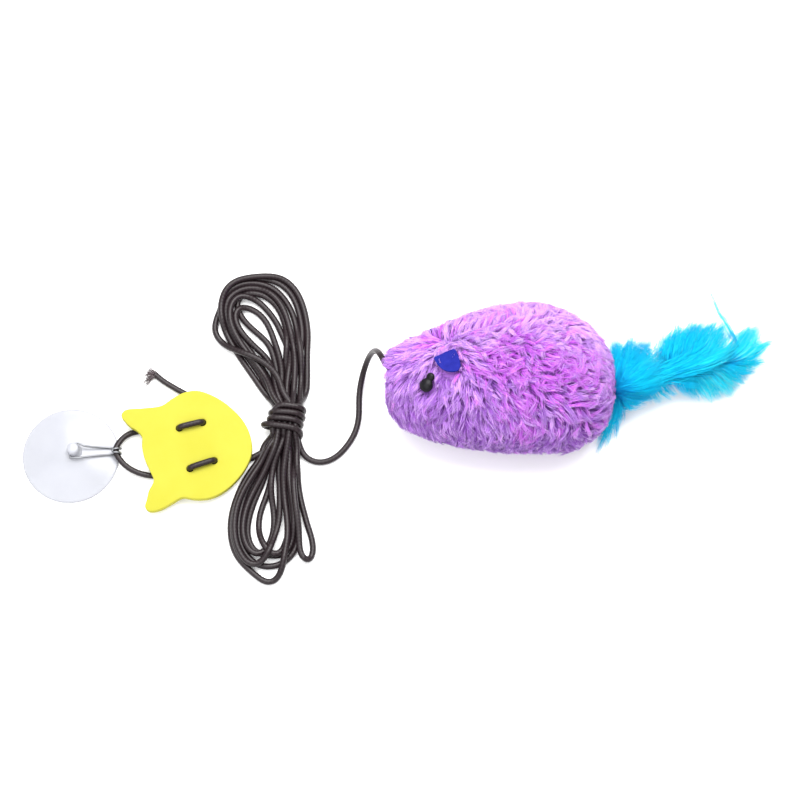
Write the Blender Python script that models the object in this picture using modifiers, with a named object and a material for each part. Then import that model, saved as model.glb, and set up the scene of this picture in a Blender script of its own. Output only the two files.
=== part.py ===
"""Plush mouse cat toy with a chirping module, on an elastic cord with a slider, a wire hook and a suction cup.

Millimetres in the layout grid below, metres in the scene. +X runs from the nose to the tail, +Y away from the
side the toy is looked at from, +Z up. The toy lies on a table: the plush body is rolled on its side, the cord is
wound in a hank, and the suction cup lies flat.
"""

import math

import bmesh
import bpy
from mathutils import Matrix, Vector

# ---------------------------------------------------------------- driving dimensions, mm
MM = 0.001
MID_X, MID_Y = 73.6, 2.5  # middle of the plush body and its tail, in the layout grid

ROLL = math.radians(33)  # the back seam leans this far from straight up, towards +Y
BELLY_SEAM = math.radians(115)  # from the back seam to either belly seam
PILE_AND_CLOTH = 2.4  # wall of the body: woven backing and the dense foot of the pile
SEAM = 0.30

CORD_D = 2.5
WIRE_D = 0.8
CUP_D = 40.0
SLIDER_T = 3.5
SLIDER_Z = 3.2  # underside of the slider, which lies on one thickness of cord
HANK_T = 7.4  # three layers of cord
CASE_D = 32.0
CELL_D, CELL_T = 11.6, 3.05
BALL_D = 3.0

# Sections of the plush body along X: x, centre y, centre z, half width, half height
STATIONS = [
    (-3.4, 5.2, 27.2, 3.5, 3.5),
    (-2.8, 2.9, 23.9, 9.0, 9.0),
    (-0.6, 1.4, 21.9, 12.6, 12.2),
    (4.0, 0.6, 21.3, 15.9, 15.2),
    (11.0, 0.3, 22.0, 19.0, 18.1),
    (20.0, 0.6, 23.0, 21.9, 21.0),
    (30.0, 1.4, 23.8, 24.7, 23.6),
    (41.0, 2.2, 24.2, 26.9, 25.4),
    (52.0, 2.4, 24.3, 27.5, 25.9),
    (62.0, 1.6, 24.1, 26.4, 25.3),
    (70.0, 0.5, 23.6, 24.0, 23.4),
    (77.0, 0.0, 22.6, 19.6, 19.4),
    (81.6, 0.0, 21.4, 14.0, 13.8),
    (84.0, 0.2, 20.4, 8.8, 8.8),
    (84.8, 0.3, 20.0, 4.9, 4.9),
]

# ---------------------------------------------------------------- scene and helpers
for thing in list(bpy.data.objects):
    bpy.data.objects.remove(thing, do_unlink=True)

parts = bpy.data.collections.new("chirping_plush_mouse")
tools = bpy.data.collections.new("cutters")
bpy.context.scene.collection.children.link(parts)
bpy.context.scene.collection.children.link(tools)
tools.hide_render = True


def at(x, y, z):
    """A point of the layout grid, in metres, with the origin under the middle of the body and tail."""
    return Vector(((x - MID_X) * MM, (y - MID_Y) * MM, z * MM))


def material(name, colour, roughness=0.7, metallic=0.0, alpha=1.0):
    mat = bpy.data.materials.new(name)
    mat.use_nodes = True
    shader = mat.node_tree.nodes["Principled BSDF"]
    shader.inputs["Base Color"].default_value = (*colour, 1.0)
    shader.inputs["Roughness"].default_value = roughness
    shader.inputs["Metallic"].default_value = metallic
    shader.inputs["Alpha"].default_value = alpha
    return mat


PURPLE = (0.46, 0.18, 0.74)
FELT_BLUE = (0.03, 0.06, 0.45)
TURQUOISE = (0.01, 0.53, 0.90)
CORD_BROWN = (0.035, 0.025, 0.028)


def own(name, data, colour, roughness=0.7, metallic=0.0, alpha=1.0):
    thing = bpy.data.objects.new(name, data)
    data.materials.append(material(name, colour, roughness, metallic, alpha))
    parts.objects.link(thing)
    return thing


def as_cutter(name, mesh):
    thing = bpy.data.objects.new(name, mesh)
    tools.objects.link(thing)
    thing.hide_render = True
    thing.display_type = "WIRE"
    return thing


def mesh_from(name, make):
    """A mesh filled by make(bm)."""
    bm = bmesh.new()
    make(bm)
    mesh = bpy.data.meshes.new(name)
    bm.to_mesh(mesh)
    bm.free()
    return mesh


def cut(thing, cutter, operation="DIFFERENCE"):
    mod = thing.modifiers.new(cutter.name, "BOOLEAN")
    mod.operation = operation
    mod.solver = "EXACT"
    mod.object = cutter


def rounded(thing, width, segments=1, angle=40):
    mod = thing.modifiers.new("rounded", "BEVEL")
    mod.width = width * MM
    mod.segments = segments
    mod.limit_method = "ANGLE"
    mod.angle_limit = math.radians(angle)


def smooth(thing):
    thing.data.shade_smooth()
    if thing.type == "MESH":
        thing.data.set_sharp_from_angle(angle=math.radians(40))


def block(name, low, high):
    """A box cutter between two corners of the layout grid."""
    a, b = at(*low), at(*high)
    mesh = mesh_from(name, lambda bm: bmesh.ops.create_cube(bm, size=1.0))
    thing = as_cutter(name, mesh)
    thing.location = (a + b) / 2
    thing.scale = (b.x - a.x, b.y - a.y, b.z - a.z)
    return thing


def drum(name, centre, radius, height, axis="Z", sides=32, cutter=False, look=None):
    """A cylinder whose middle is centre."""
    mesh = mesh_from(
        name,
        lambda bm: bmesh.ops.create_cone(
            bm,
            cap_ends=True,
            segments=sides,
            radius1=radius * MM,
            radius2=radius * MM,
            depth=height * MM,
        ),
    )
    thing = as_cutter(name, mesh) if cutter else own(name, mesh, *look)
    thing.location = at(*centre)
    if axis == "X":
        thing.rotation_euler = (0, math.pi / 2, 0)
    elif axis == "Y":
        thing.rotation_euler = (math.pi / 2, 0, 0)
    return thing


def ball(name, centre, radii, look=None, sides=16, rings=10, turn=(0, 0, 0), cutter=False):
    mesh = mesh_from(
        name,
        lambda bm: bmesh.ops.create_uvsphere(
            bm, u_segments=sides, v_segments=rings, radius=MM
        ),
    )
    thing = as_cutter(name, mesh) if cutter else own(name, mesh, *look)
    thing.location = at(*centre)
    thing.scale = radii
    thing.rotation_euler = turn
    return thing


def turned(name, centre, profile, look, steps=32):
    """A turned piece: profile is (radius, height) from the top centre, down the outer side and back to the axis."""
    mesh = bpy.data.meshes.new(name)
    points = [(r * MM, 0.0, z * MM) for r, z in profile]
    mesh.from_pydata(points, [(i, i + 1) for i in range(len(points) - 1)], [])
    thing = own(name, mesh, *look)
    thing.location = at(*centre)
    mod = thing.modifiers.new("turn", "SCREW")
    mod.steps = mod.render_steps = steps
    mod.use_merge_vertices = True
    mod.merge_threshold = 0.00001
    mod.use_smooth_shade = True
    return thing


def catmull(points, spacing=None, per_span=None, closed=False):
    """Points of a smooth curve through points, a fixed number for each span or one every spacing mm."""
    pts = [Vector(p) for p in points]
    n = len(pts)
    spans = n if closed else n - 1
    dense = []
    for i in range(spans):
        p1, p2 = pts[i], pts[(i + 1) % n]
        p0 = pts[i - 1] if closed or i > 0 else p1 + (p1 - p2)
        p3 = pts[(i + 2) % n] if closed or i + 2 < n else p2 + (p2 - p1)
        # centripetal knots keep uneven spans from overshooting
        t1 = max((p1 - p0).length, 1e-6) ** 0.5
        t2 = t1 + max((p2 - p1).length, 1e-6) ** 0.5
        t3 = t2 + max((p3 - p2).length, 1e-6) ** 0.5
        steps = per_span or 16
        for k in range(steps):
            t = t1 + (t2 - t1) * k / steps
            a1 = p0 * ((t1 - t) / t1) + p1 * (t / t1)
            a2 = p1 * ((t2 - t) / (t2 - t1)) + p2 * ((t - t1) / (t2 - t1))
            a3 = p2 * ((t3 - t) / (t3 - t2)) + p3 * ((t - t2) / (t3 - t2))
            b1 = a1 * ((t2 - t) / t2) + a2 * (t / t2)
            b2 = a2 * ((t3 - t) / (t3 - t1)) + a3 * ((t - t1) / (t3 - t1))
            dense.append(b1 * ((t2 - t) / (t2 - t1)) + b2 * ((t - t1) / (t2 - t1)))
    if not closed:
        dense.append(pts[-1])
    if spacing is None:
        return dense
    line = dense + ([dense[0]] if closed else [])
    lengths = [0.0]
    for a, b in zip(line, line[1:]):
        lengths.append(lengths[-1] + (b - a).length)
    count = max(2, round(lengths[-1] / spacing) + (0 if closed else 1))
    out, j = [], 0
    for k in range(count):
        s = lengths[-1] * k / (count if closed else count - 1)
        while j < len(lengths) - 2 and lengths[j + 1] < s:
            j += 1
        f = (s - lengths[j]) / max(lengths[j + 1] - lengths[j], 1e-9)
        out.append(line[j].lerp(line[j + 1], min(max(f, 0.0), 1.0)))
    return out


def tube(name, points, diameter, look, radii=None, resolution=2, flatten=None):
    """A round bar along points of the layout grid. radii scales it point by point."""
    curve = bpy.data.curves.new(name, "CURVE")
    curve.dimensions = "3D"
    curve.bevel_depth = diameter / 2 * MM
    curve.bevel_resolution = resolution
    curve.use_fill_caps = True
    line = curve.splines.new("POLY")
    line.points.add(len(points) - 1)
    base = at(*points[0])
    for i, p in enumerate(points):
        spot = at(*p) - base
        if flatten:
            spot.z /= flatten
        line.points[i].co = (*spot, 1.0)
        line.points[i].radius = radii[i] if radii else 1.0
    thing = own(name, curve, *look)
    thing.location = base
    if flatten:
        thing.scale = (1, 1, flatten)
    return thing


def outline(name, loops, thickness, low_z, look, centre=(0, 0)):
    """A flat shape: closed loops of the layout grid, the first is the edge and the rest are holes."""
    curve = bpy.data.curves.new(name, "CURVE")
    curve.dimensions = "2D"
    curve.fill_mode = "BOTH"
    curve.extrude = thickness / 2 * MM
    for loop in loops:
        line = curve.splines.new("POLY")
        line.points.add(len(loop) - 1)
        for i, p in enumerate(loop):
            line.points[i].co = ((p[0] - centre[0]) * MM, (p[1] - centre[1]) * MM, 0, 1)
        line.use_cyclic_u = True
    thing = own(name, curve, *look)
    thing.location = at(centre[0], centre[1], low_z + thickness / 2)
    return thing


def to_mesh(thing, weld=0.00002):
    """Turns a curve object into a mesh object of the same name and place, with its caps welded."""
    bpy.context.view_layer.update()
    seen = thing.evaluated_get(bpy.context.evaluated_depsgraph_get())
    mesh = bpy.data.meshes.new_from_object(seen)
    bm = bmesh.new()
    bm.from_mesh(mesh)
    bmesh.ops.remove_doubles(bm, verts=bm.verts, dist=weld)
    bmesh.ops.recalc_face_normals(bm, faces=bm.faces)
    bm.to_mesh(mesh)
    bm.free()
    name, place = thing.name, thing.matrix_world.copy()
    mats = list(thing.data.materials)
    bpy.data.objects.remove(thing, do_unlink=True)
    solid = bpy.data.objects.new(name, mesh)
    if not mesh.materials:
        for mat in mats:
            mesh.materials.append(mat)
    parts.objects.link(solid)
    solid.matrix_world = place
    return solid


# ---------------------------------------------------------------- plush body
def section(u):
    """The body's section at station number u, by a Catmull-Rom curve through STATIONS."""
    last = len(STATIONS) - 1
    i = min(int(u), last - 1)
    f = u - i
    rows = [STATIONS[min(max(k, 0), last)] for k in (i - 1, i, i + 1, i + 2)]
    out = []
    for p0, p1, p2, p3 in zip(*rows):
        out.append(
            p1
            + 0.5 * f * (p2 - p0 + f * (2 * p0 - 5 * p1 + 4 * p2 - p3 + f * (3 * (p1 - p2) + p3 - p0)))
        )
    return out


def skin(u, theta, inset=0.0):
    """A point of the body's surface. theta turns from +Z towards +Y. The underside is pressed flat on the table."""
    x, yc, zc, ry, rz = section(u)
    return at(
        x,
        yc + (ry - inset) * math.sin(theta),
        max(zc + (rz - inset) * math.cos(theta), inset),
    )


def panel(name, start, end, columns=6):
    """One cloth panel between two seams, as an open sheet thickened inwards."""
    rows = [0, 0.55, 1, 1.5, 2, 3, 4, 5, 6, 7, 8, 9, 10, 11, 12, 13, 14]
    mesh_rows = []
    mesh = bpy.data.meshes.new(name)
    points, faces = [], []
    for u in rows:
        radius = section(u)[3]
        edge = SEAM / 2 / radius
        a, b = start + edge, end - edge
        lip = min(math.radians(1.2), (b - a) / 12)
        angles = [a, a + lip]
        angles += [a + lip + (b - a - 2 * lip) * k / columns for k in range(1, columns)]
        angles += [b - lip, b]
        mesh_rows.append([len(points) + k for k in range(len(angles))])
        points += [skin(u, t) for t in angles]
    for lower, upper in zip(mesh_rows, mesh_rows[1:]):
        for k in range(len(lower) - 1):
            faces.append((lower[k], upper[k], upper[k + 1], lower[k + 1]))
    mesh.from_pydata(points, [], faces)
    mesh.update()
    thing = own(name, mesh, PURPLE, 0.95)
    mod = thing.modifiers.new("cloth", "SOLIDIFY")
    mod.thickness = PILE_AND_CLOTH * MM
    mod.offset = -1
    mod.use_rim = True
    return thing


panel("right_side_panel", ROLL, ROLL + BELLY_SEAM)
panel("belly_panel", ROLL + BELLY_SEAM, ROLL + 2 * math.pi - BELLY_SEAM)
panel("left_side_panel", ROLL - BELLY_SEAM, ROLL)


# ---------------------------------------------------------------- stuffing, in two wads round the module
MODULE = (44.0, 2.0, 24.0)  # the module's middle


def wad_mesh(name):
    """The inside of the body as one closed loft, clear of the panels."""
    sides = 20
    rows = [4.0, 5, 6, 7, 8, 9, 10, 10.6, 11.2]
    bm = bmesh.new()
    rings = []
    for u in rows:
        near, far = section(u - 0.1), section(u + 0.1)
        slope = (far[3] - near[3]) / (far[0] - near[0])
        inset = (PILE_AND_CLOTH + 1.1) * math.hypot(1, slope)  # square to the sloping wall
        rings.append([bm.verts.new(skin(u, 2 * math.pi * k / sides, inset)) for k in range(sides)])
    for low, high in zip(rings, rings[1:]):
        for k in range(sides):
            bm.faces.new((low[k], low[(k + 1) % sides], high[(k + 1) % sides], high[k]))
    bm.faces.new(list(reversed(rings[0])))
    bm.faces.new(rings[-1])
    bmesh.ops.recalc_face_normals(bm, faces=bm.faces)
    mesh = bpy.data.meshes.new(name)
    bm.to_mesh(mesh)
    bm.free()
    return mesh


pocket = drum("module_pocket", MODULE, CASE_D / 2 + 0.6, 15.4, cutter=True)
above = block("above_module", (0, -40, MODULE[2] + 0.15), (90, 40, 70))
below = block("below_module", (0, -40, -10), (90, 40, MODULE[2] - 0.15))
stub_room = drum("stub_room", (78.5, 0.2, 20.2), 4.2, 14, axis="X", sides=16, cutter=True)
for name, half in (("stuffing_upper", above), ("stuffing_lower", below)):
    wad = own(name, wad_mesh(name), (0.93, 0.93, 0.92), 1.0)
    cut(wad, half, "INTERSECT")
    cut(wad, pocket)
    cut(wad, stub_room)


# ---------------------------------------------------------------- sound module
GREY_ABS = ((0.80, 0.80, 0.78), 0.45)
STEEL = ((0.72, 0.72, 0.70), 0.3, 1.0)
base_z = MODULE[2] - 7.0
R = CASE_D / 2
turned(
    "module_case_base",
    (MODULE[0], MODULE[1], base_z),
    [(R - 1.2, 7.0), (R, 7.0), (R, 0.6), (R - 0.6, 0), (0, 0), (0, 1.2), (R - 1.2, 1.2)][::1]
    + [(R - 1.2, 7.0)],
    GREY_ABS,
)
lid = turned(
    "module_case_lid",
    (MODULE[0], MODULE[1], base_z),
    [(R - 1.2, 12.8), (0, 12.8), (0, 14.0), (R - 0.6, 14.0), (R, 13.4), (R, 7.3), (R - 1.2, 7.3)]
    + [(R - 1.2, 12.8)],
    GREY_ABS,
)
for k in range(5):  # the sound comes out through five holes in the lid
    turn = 2 * math.pi * k / 5
    spot = (MODULE[0] + 4.5 * math.cos(turn), MODULE[1] + 4.5 * math.sin(turn), base_z + 13.4)
    cut(lid, drum(f"sound_hole_{k + 1}", spot, 0.9, 3, sides=10, cutter=True))

reach = CELL_D / 2 / math.cos(math.radians(30)) + 0.35
for k in range(3):
    turn = math.radians(90 + 120 * k)
    spot = (
        MODULE[0] + reach * math.cos(turn),
        MODULE[1] + reach * math.sin(turn),
        base_z + 2.1 + CELL_T / 2,
    )
    drum(f"button_cell_{k + 1}", spot, CELL_D / 2, CELL_T, sides=24, look=STEEL)
drum("cell_contact_lower", (MODULE[0], MODULE[1], base_z + 1.65), 8.6, 0.3, sides=6, look=((0.80, 0.62, 0.28), 0.35, 1.0))
drum("cell_contact_upper", (MODULE[0], MODULE[1], base_z + 5.6), 8.6, 0.3, sides=6, look=((0.80, 0.62, 0.28), 0.35, 1.0))
drum("circuit_board", (MODULE[0], MODULE[1], base_z + 6.6), 14.2, 1.0, sides=32, look=((0.03, 0.26, 0.10), 0.5))
blob = ball("chip_blob", (MODULE[0] - 6.5, MODULE[1] - 3.0, base_z + 7.4), (4.0, 4.0, 1.7), ((0.01, 0.01, 0.01), 0.35), 16, 8)
cut(blob, block("blob_floor", (MODULE[0] - 20, MODULE[1] - 20, base_z), (MODULE[0] + 20, MODULE[1] + 20, base_z + 7.4)))
drum("piezo_disc", (MODULE[0], MODULE[1], base_z + 12.35), 10.0, 0.3, sides=28, look=((0.82, 0.66, 0.30), 0.3, 1.0))

# Shake switch: a can lying on the board, a base plug with two pins, and a ball that rolls in it
can_x, can_y, can_z = MODULE[0] + 2.0, MODULE[1] + 6.4, base_z + 9.5
can = drum("switch_can", (can_x + 3.5, can_y, can_z), 2.1, 7.0, axis="X", sides=20, look=STEEL)
cut(can, drum("switch_bore", (can_x + 2.9, can_y, can_z), BALL_D / 2 + 0.15, 7.0, axis="X", sides=20, cutter=True))
ball("switch_ball", (can_x + 1.5, can_y, can_z), (BALL_D / 2,) * 3, STEEL, 14, 9)
plug = drum("switch_plug", (can_x - 0.8, can_y, can_z), 2.1, 1.0, axis="X", sides=20, look=((0.10, 0.10, 0.11), 0.5))
pin_mesh = drum("switch_pins", (can_x - 1.9, can_y, can_z), 0.8, 1.6, axis="X", sides=10, cutter=True)
cut(plug, pin_mesh, "UNION")

tube(
    "piezo_wire_red",
    catmull([(MODULE[0] + 3.0, MODULE[1] - 6.0, base_z + 7.5), (MODULE[0] + 4.2, MODULE[1] - 6.4, base_z + 9.2), (MODULE[0] + 3.4, MODULE[1] - 7.4, base_z + 10.8), (MODULE[0] + 2.6, MODULE[1] - 6.2, base_z + 11.8)], per_span=3),
    0.7,
    ((0.55, 0.02, 0.02), 0.5),
    resolution=1,
)
tube(
    "piezo_wire_black",
    catmull([(MODULE[0] + 7.0, MODULE[1] - 5.0, base_z + 7.5), (MODULE[0] + 8.0, MODULE[1] - 4.4, base_z + 9.2), (MODULE[0] + 7.0, MODULE[1] - 3.6, base_z + 10.8), (MODULE[0] + 6.0, MODULE[1] - 4.2, base_z + 11.8)], per_span=3),
    0.7,
    ((0.02, 0.02, 0.02), 0.5),
    resolution=1,
)


# ---------------------------------------------------------------- ears and eyes
def on_skin(x, theta, lift):
    """A point lift mm outside the body at plan position x, and the outward direction there."""
    lo, hi = 0.0, float(len(STATIONS) - 1)
    for _ in range(40):
        mid = (lo + hi) / 2
        if section(mid)[0] < x:
            lo = mid
        else:
            hi = mid
    u = (lo + hi) / 2
    spot = skin(u, theta)
    along = skin(u + 0.05, theta) - skin(u - 0.05, theta)
    around = skin(u, theta + 0.01) - skin(u, theta - 0.01)
    out = around.cross(along).normalized()
    centre = at(x, section(u)[1], section(u)[2])
    if out.dot(spot - centre) < 0:
        out.negate()
    return spot + out * lift * MM, out


def ear(name, x, theta, lift, tip_turn):
    """A felt ear: a rounded shield 11 mm across, on the body's surface."""
    edge = []
    for k in range(20):
        a = 2 * math.pi * k / 20
        r = 5.1 * (1 + 0.10 * math.cos(3 * (a - math.pi / 2)))
        edge.append((r * math.cos(a), r * 0.95 * math.sin(a)))
    thing = outline(name, [edge], 1.2, 0, (FELT_BLUE, 0.95))
    spot, out = on_skin(x, theta, lift)
    turn = out.to_track_quat("Z", "Y").to_matrix().to_4x4()
    thing.matrix_world = Matrix.Translation(spot) @ turn @ Matrix.Rotation(tip_turn, 4, "Z")
    return thing


ear("ear_left", 18.7, math.radians(7), 2.0, math.radians(200))
ear("ear_right", 15.5, math.radians(60), 2.0, math.radians(160))
for name, theta in (("eye_left", -16.0), ("eye_right", 82.0)):
    spot, out = on_skin(12.4, math.radians(theta), 1.75)
    eye = ball(name, (0, 0, 0), (3.0, 2.0, 1.3), ((0.01, 0.01, 0.01), 0.25), 14, 8)
    eye.matrix_world = (
        Matrix.Translation(spot)
        @ out.to_track_quat("Z", "Y").to_matrix().to_4x4()
        @ Matrix.Rotation(math.radians(60), 4, "Z")
        @ Matrix.Diagonal((3.0, 2.0, 1.3, 1.0))
    )


# ---------------------------------------------------------------- feather tail
TAIL_PIVOT = (89.0, 0.3, 19.6)
tube("tail_root_stub", [(76.0, 0.2, 20.2), (81.0, 0.2, 20.1), (86.1, 0.3, 19.8)], 6.0, ((0.02, 0.25, 0.70), 0.8))
tube(
    "tail_binding",
    [(86.5, 0.3, 19.6), (87.2, 0.3, 19.6), (88.4, 0.3, 19.6), (90.2, 0.6, 19.4), (92.0, 1.0, 19.1)],
    5.0,
    ((0.02, 0.25, 0.70), 0.8),
    radii=[0.25, 0.72, 0.96, 0.94, 0.7],
)


def plume(name, points, widths, flat, deep=False):
    """A soft feather: a tapering bar along points, pressed flat."""
    look = ((0.01, 0.36, 0.80) if deep else TURQUOISE, 0.9)
    line = catmull(points, per_span=3)
    grow = []
    for i in range(len(line)):
        s = i / (len(line) - 1) * (len(widths) - 1)
        j = min(int(s), len(widths) - 2)
        grow.append(widths[j] + (widths[j + 1] - widths[j]) * (s - j))
    return tube(name, [tuple(p) for p in line], 2.0, look, radii=grow, resolution=3, flatten=flat)


plume(
    "tail_plume_front",
    [(93.0, 2.0, 20.1), (95.4, 4.8, 20.4), (99.5, 9.4, 19.4), (107.0, 12.6, 16.5), (115.5, 15.2, 13.5)],
    [0.9, 3.2, 8.4, 9.8, 3.0],
    0.5,
    deep=True,
)
plume(
    "tail_plume_long",
    [
        (93.2, 0.0, 18.0), (95.8, -1.8, 15.4), (102.0, -2.4, 11.2), (111.5, 0.6, 8.8), (120.0, 6.6, 8.4),
        (128.5, 13.6, 8.4), (138.0, 17.0, 8.0), (146.5, 18.6, 7.4), (149.6, 19.2, 7.0),
    ],  # fmt: skip
    [0.9, 2.4, 4.4, 4.6, 6.4, 11.0, 12.2, 9.4, 3.0],
    0.5,
)
plume("tail_fluff_low", [(88.6, -8.2, 11.5), (87.4, -12.4, 7.2), (85.0, -16.8, 3.6), (82.8, -20.0, 2.0)], [1.1, 2.2, 2.0, 0.8], 0.7, deep=True)


# ---------------------------------------------------------------- elastic cord
CORD_LOOK = (CORD_BROWN, 0.75)
ball("cord_knot", (3.3, 4.6, 26.2), (2.9, 2.9, 2.9), CORD_LOOK, 14, 9)
LEAD = [
    (-0.2, 5.0, 27.0),
    (-3.4, 5.2, 27.2),
    (-5.9, 6.3, 28.2),
    (-7.6, 10.0, 28.6),
    (-9.5, 13.6, 24.8),
    (-11.5, 15.8, 18.6),
    (-13.6, 15.2, 11.6),
    (-15.6, 11.6, 5.6),
    (-17.2, 6.2, 2.2),
    (-17.9, 0.2, 1.4),
    (-17.7, -6.2, 1.35),
    (-18.7, -13.4, 1.35),
    (-22.6, -20.4, 1.35),
    (-28.1, -24.9, 1.35),
    (-34.0, -26.4, 1.35),
    (-37.6, -24.6, 1.35),
    (-39.3, -21.4, 1.5),
    (-39.5, -17.4, 2.4),
]
tube("cord_lead", [tuple(p) for p in catmull(LEAD, spacing=3.2)], CORD_D, CORD_LOOK)

# The hank: teardrop loops at both ends of a narrow waist, seen from above
HANK = [
    (-41.4, -9.0), (-41.4, -3.6), (-39.9, 0.4), (-38.7, 5.0), (-37.9, 13.0), (-37.9, 26.3),
    (-39.1, 35.9), (-42.4, 43.9), (-46.3, 49.6), (-51.0, 53.2), (-55.6, 54.5), (-62.8, 54.1),
    (-69.5, 51.8), (-73.3, 48.0), (-75.3, 43.5), (-76.2, 37.2), (-78.4, 31.5), (-78.6, 27.1),
    (-75.4, 22.8), (-70.1, 19.6), (-64.6, 13.0), (-58.6, 4.5), (-55.4, -0.5), (-54.8, -4.0),
    (-54.8, -9.0), (-54.8, -14.4), (-55.8, -18.0), (-58.6, -24.7), (-61.2, -29.5), (-63.4, -33.6),
    (-68.6, -43.8), (-69.9, -54.3), (-68.5, -64.8), (-63.0, -71.6), (-57.7, -75.3), (-54.2, -79.4),
    (-51.8, -79.6), (-48.8, -76.0), (-45.6, -70.4), (-42.2, -67.6), (-38.9, -69.8), (-36.4, -68.6),
    (-35.4, -62.7), (-36.8, -55.6), (-39.7, -48.9), (-41.0, -39.6), (-41.4, -26.9), (-41.4, -16.0),
]  # fmt: skip
WAIST = (-15.4, -2.6)  # the wrap covers the hank between these, along Y
hank = to_mesh(outline("cord_hank", [HANK], HANK_T, 0.0, CORD_LOOK, centre=(-56, -10)))
rounded(hank, 1.1)
cut(hank, block("under_the_waist", (-60, WAIST[0] - 0.4, -2), (-36, WAIST[1] + 0.4, CORD_D + 0.35)))


def oval(width, height, centre, sides=28):
    """A rounded box outline in the wrap's plane."""
    out = []
    for k in range(sides):
        a = 2 * math.pi * k / sides
        c, s = math.cos(a), math.sin(a)
        out.append(
            (
                centre[0] + width / 2 * math.copysign(abs(c) ** 0.55, c),
                centre[1] + height / 2 * math.copysign(abs(s) ** 0.55, s),
            )
        )
    return out


wrap_mid_x, wrap_mid_z = -48.1, 5.15
wrap = bpy.data.curves.new("cord_waist_wrap", "CURVE")
wrap.dimensions = "2D"
wrap.fill_mode = "BOTH"
wrap.extrude = (WAIST[1] - WAIST[0]) / 2 * MM
for loop in (oval(20.2, 10.3, (0, 0)), oval(15.6, 6.2, (0, 0))):
    line = wrap.splines.new("POLY")
    line.points.add(len(loop) - 1)
    for i, p in enumerate(loop):
        line.points[i].co = (p[0] * MM, p[1] * MM, 0, 1)
    line.use_cyclic_u = True
wrap = own("cord_waist_wrap", wrap, *CORD_LOOK)
wrap.location = at(wrap_mid_x, (WAIST[0] + WAIST[1]) / 2, wrap_mid_z)
wrap.rotation_euler = (math.pi / 2, 0, 0)

# ---------------------------------------------------------------- slider: foam, with four holes for the cord
SLIDER = [
    (-115.2, -8.6), (-113.8, -6.3), (-106.0, -5.4), (-98.6, -4.3), (-94.2, -1.2), (-89.6, 1.3),
    (-84.5, 2.2), (-79.5, 0.9), (-73.4, -2.4), (-68.2, -6.8), (-64.6, -11.0), (-62.2, -15.6),
    (-61.0, -20.6), (-61.2, -25.4), (-63.2, -30.6), (-66.6, -35.6), (-71.0, -40.0), (-75.2, -42.6),
    (-79.6, -43.9), (-84.6, -43.9), (-89.0, -43.3), (-93.6, -45.9), (-98.2, -48.4), (-102.4, -49.0),
    (-104.2, -47.4), (-103.6, -44.2), (-102.9, -40.6), (-101.0, -36.2), (-102.8, -31.8), (-105.0, -27.0),
    (-106.2, -22.0), (-106.4, -17.6), (-108.6, -15.0), (-111.2, -13.4), (-113.6, -11.0),
]  # fmt: skip
HOLES = [(-91.0, -13.9), (-81.5, -11.5), (-86.2, -31.1), (-76.4, -27.8)]
HOLE_R = 1.62
rings = [SLIDER]
for hx, hy in HOLES:
    rings.append(
        [(hx + HOLE_R * math.cos(-2 * math.pi * k / 14), hy + HOLE_R * math.sin(-2 * math.pi * k / 14)) for k in range(14)]
    )
slider = outline("cord_slider", rings, SLIDER_T, SLIDER_Z, ((0.93, 0.90, 0.09), 0.85), centre=(-86, -22))

# ---------------------------------------------------------------- cord through the slider and round the hook
LOOP_AT = (-117.2, -22.9, 3.75)  # where the hook holds the loop
LOW, TOP = 1.35, SLIDER_Z + SLIDER_T + 0.35 + CORD_D / 2


def rise(hole, before, after, up=True):
    """The bend from under the slider up through a hole and over its top, or back down."""
    hx, hy = hole
    bx, by = before
    ax, ay = after
    lb = math.hypot(bx - hx, by - hy)
    la = math.hypot(ax - hx, ay - hy)
    ub, ua = ((bx - hx) / lb, (by - hy) / lb), ((ax - hx) / la, (ay - hy) / la)
    z0, z1 = (LOW, TOP) if up else (TOP, LOW)
    s = 1 if up else -1
    r = 1.75
    out = []
    for k in range(5):
        a = math.pi / 2 * k / 4
        out.append((hx + ub[0] * r * (1 - math.sin(a)), hy + ub[1] * r * (1 - math.sin(a)), z0 + s * r * (1 - math.cos(a))))
    for k in range(5):
        a = math.pi / 2 * k / 4
        out.append((hx + ua[0] * r * (1 - math.cos(a)), hy + ua[1] * r * (1 - math.cos(a)), z1 - s * r * (1 - math.sin(a))))
    return out


h1, h2, h3, h4 = HOLES
run_in = catmull([(-59.6, -23.9, LOW), (-63.6, -26.3, LOW), (-69.6, -27.6, LOW), (-74.65, -27.8, LOW)], spacing=3.4)[:-1]
under_out = catmull([(-87.95, -31.3, LOW), (-94.9, -31.9, LOW), (-102.0, -32.9, 1.4), (-108.4, -31.6, 2.2), (-113.9, -28.2, 3.1),
                     LOOP_AT, (-115.3, -18.2, 3.2), (-112.2, -15.3, 2.1), (-108.2, -14.0, 1.45), (-103.0, -13.5, LOW), (-98.0, -13.4, LOW), (-92.75, -13.9, LOW)], spacing=3.3)[1:-1]  # fmt: skip
run_out = catmull([(-79.8, -11.1, LOW), (-77.9, -9.4, LOW), (-78.2, -5.9, LOW), (-82.0, -2.2, LOW), (-88.2, 1.6, LOW), (-94.2, 5.0, LOW), (-99.2, 8.2, 1.4), (-101.9, 10.2, 1.5)], spacing=3.0)[1:]
path = [tuple(p) for p in run_in]
path += rise(h4, (-70, -27.8), h3)
path += rise(h3, h4, (-95, -31.6), up=False)
path += [tuple(p) for p in under_out]
path += rise(h1, (-98.0, -13.4), h2)
path += rise(h2, h1, (-77.9, -10.2), up=False)
path += [tuple(p) for p in run_out]
tube("cord_slider_run", path, CORD_D, CORD_LOOK)
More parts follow.
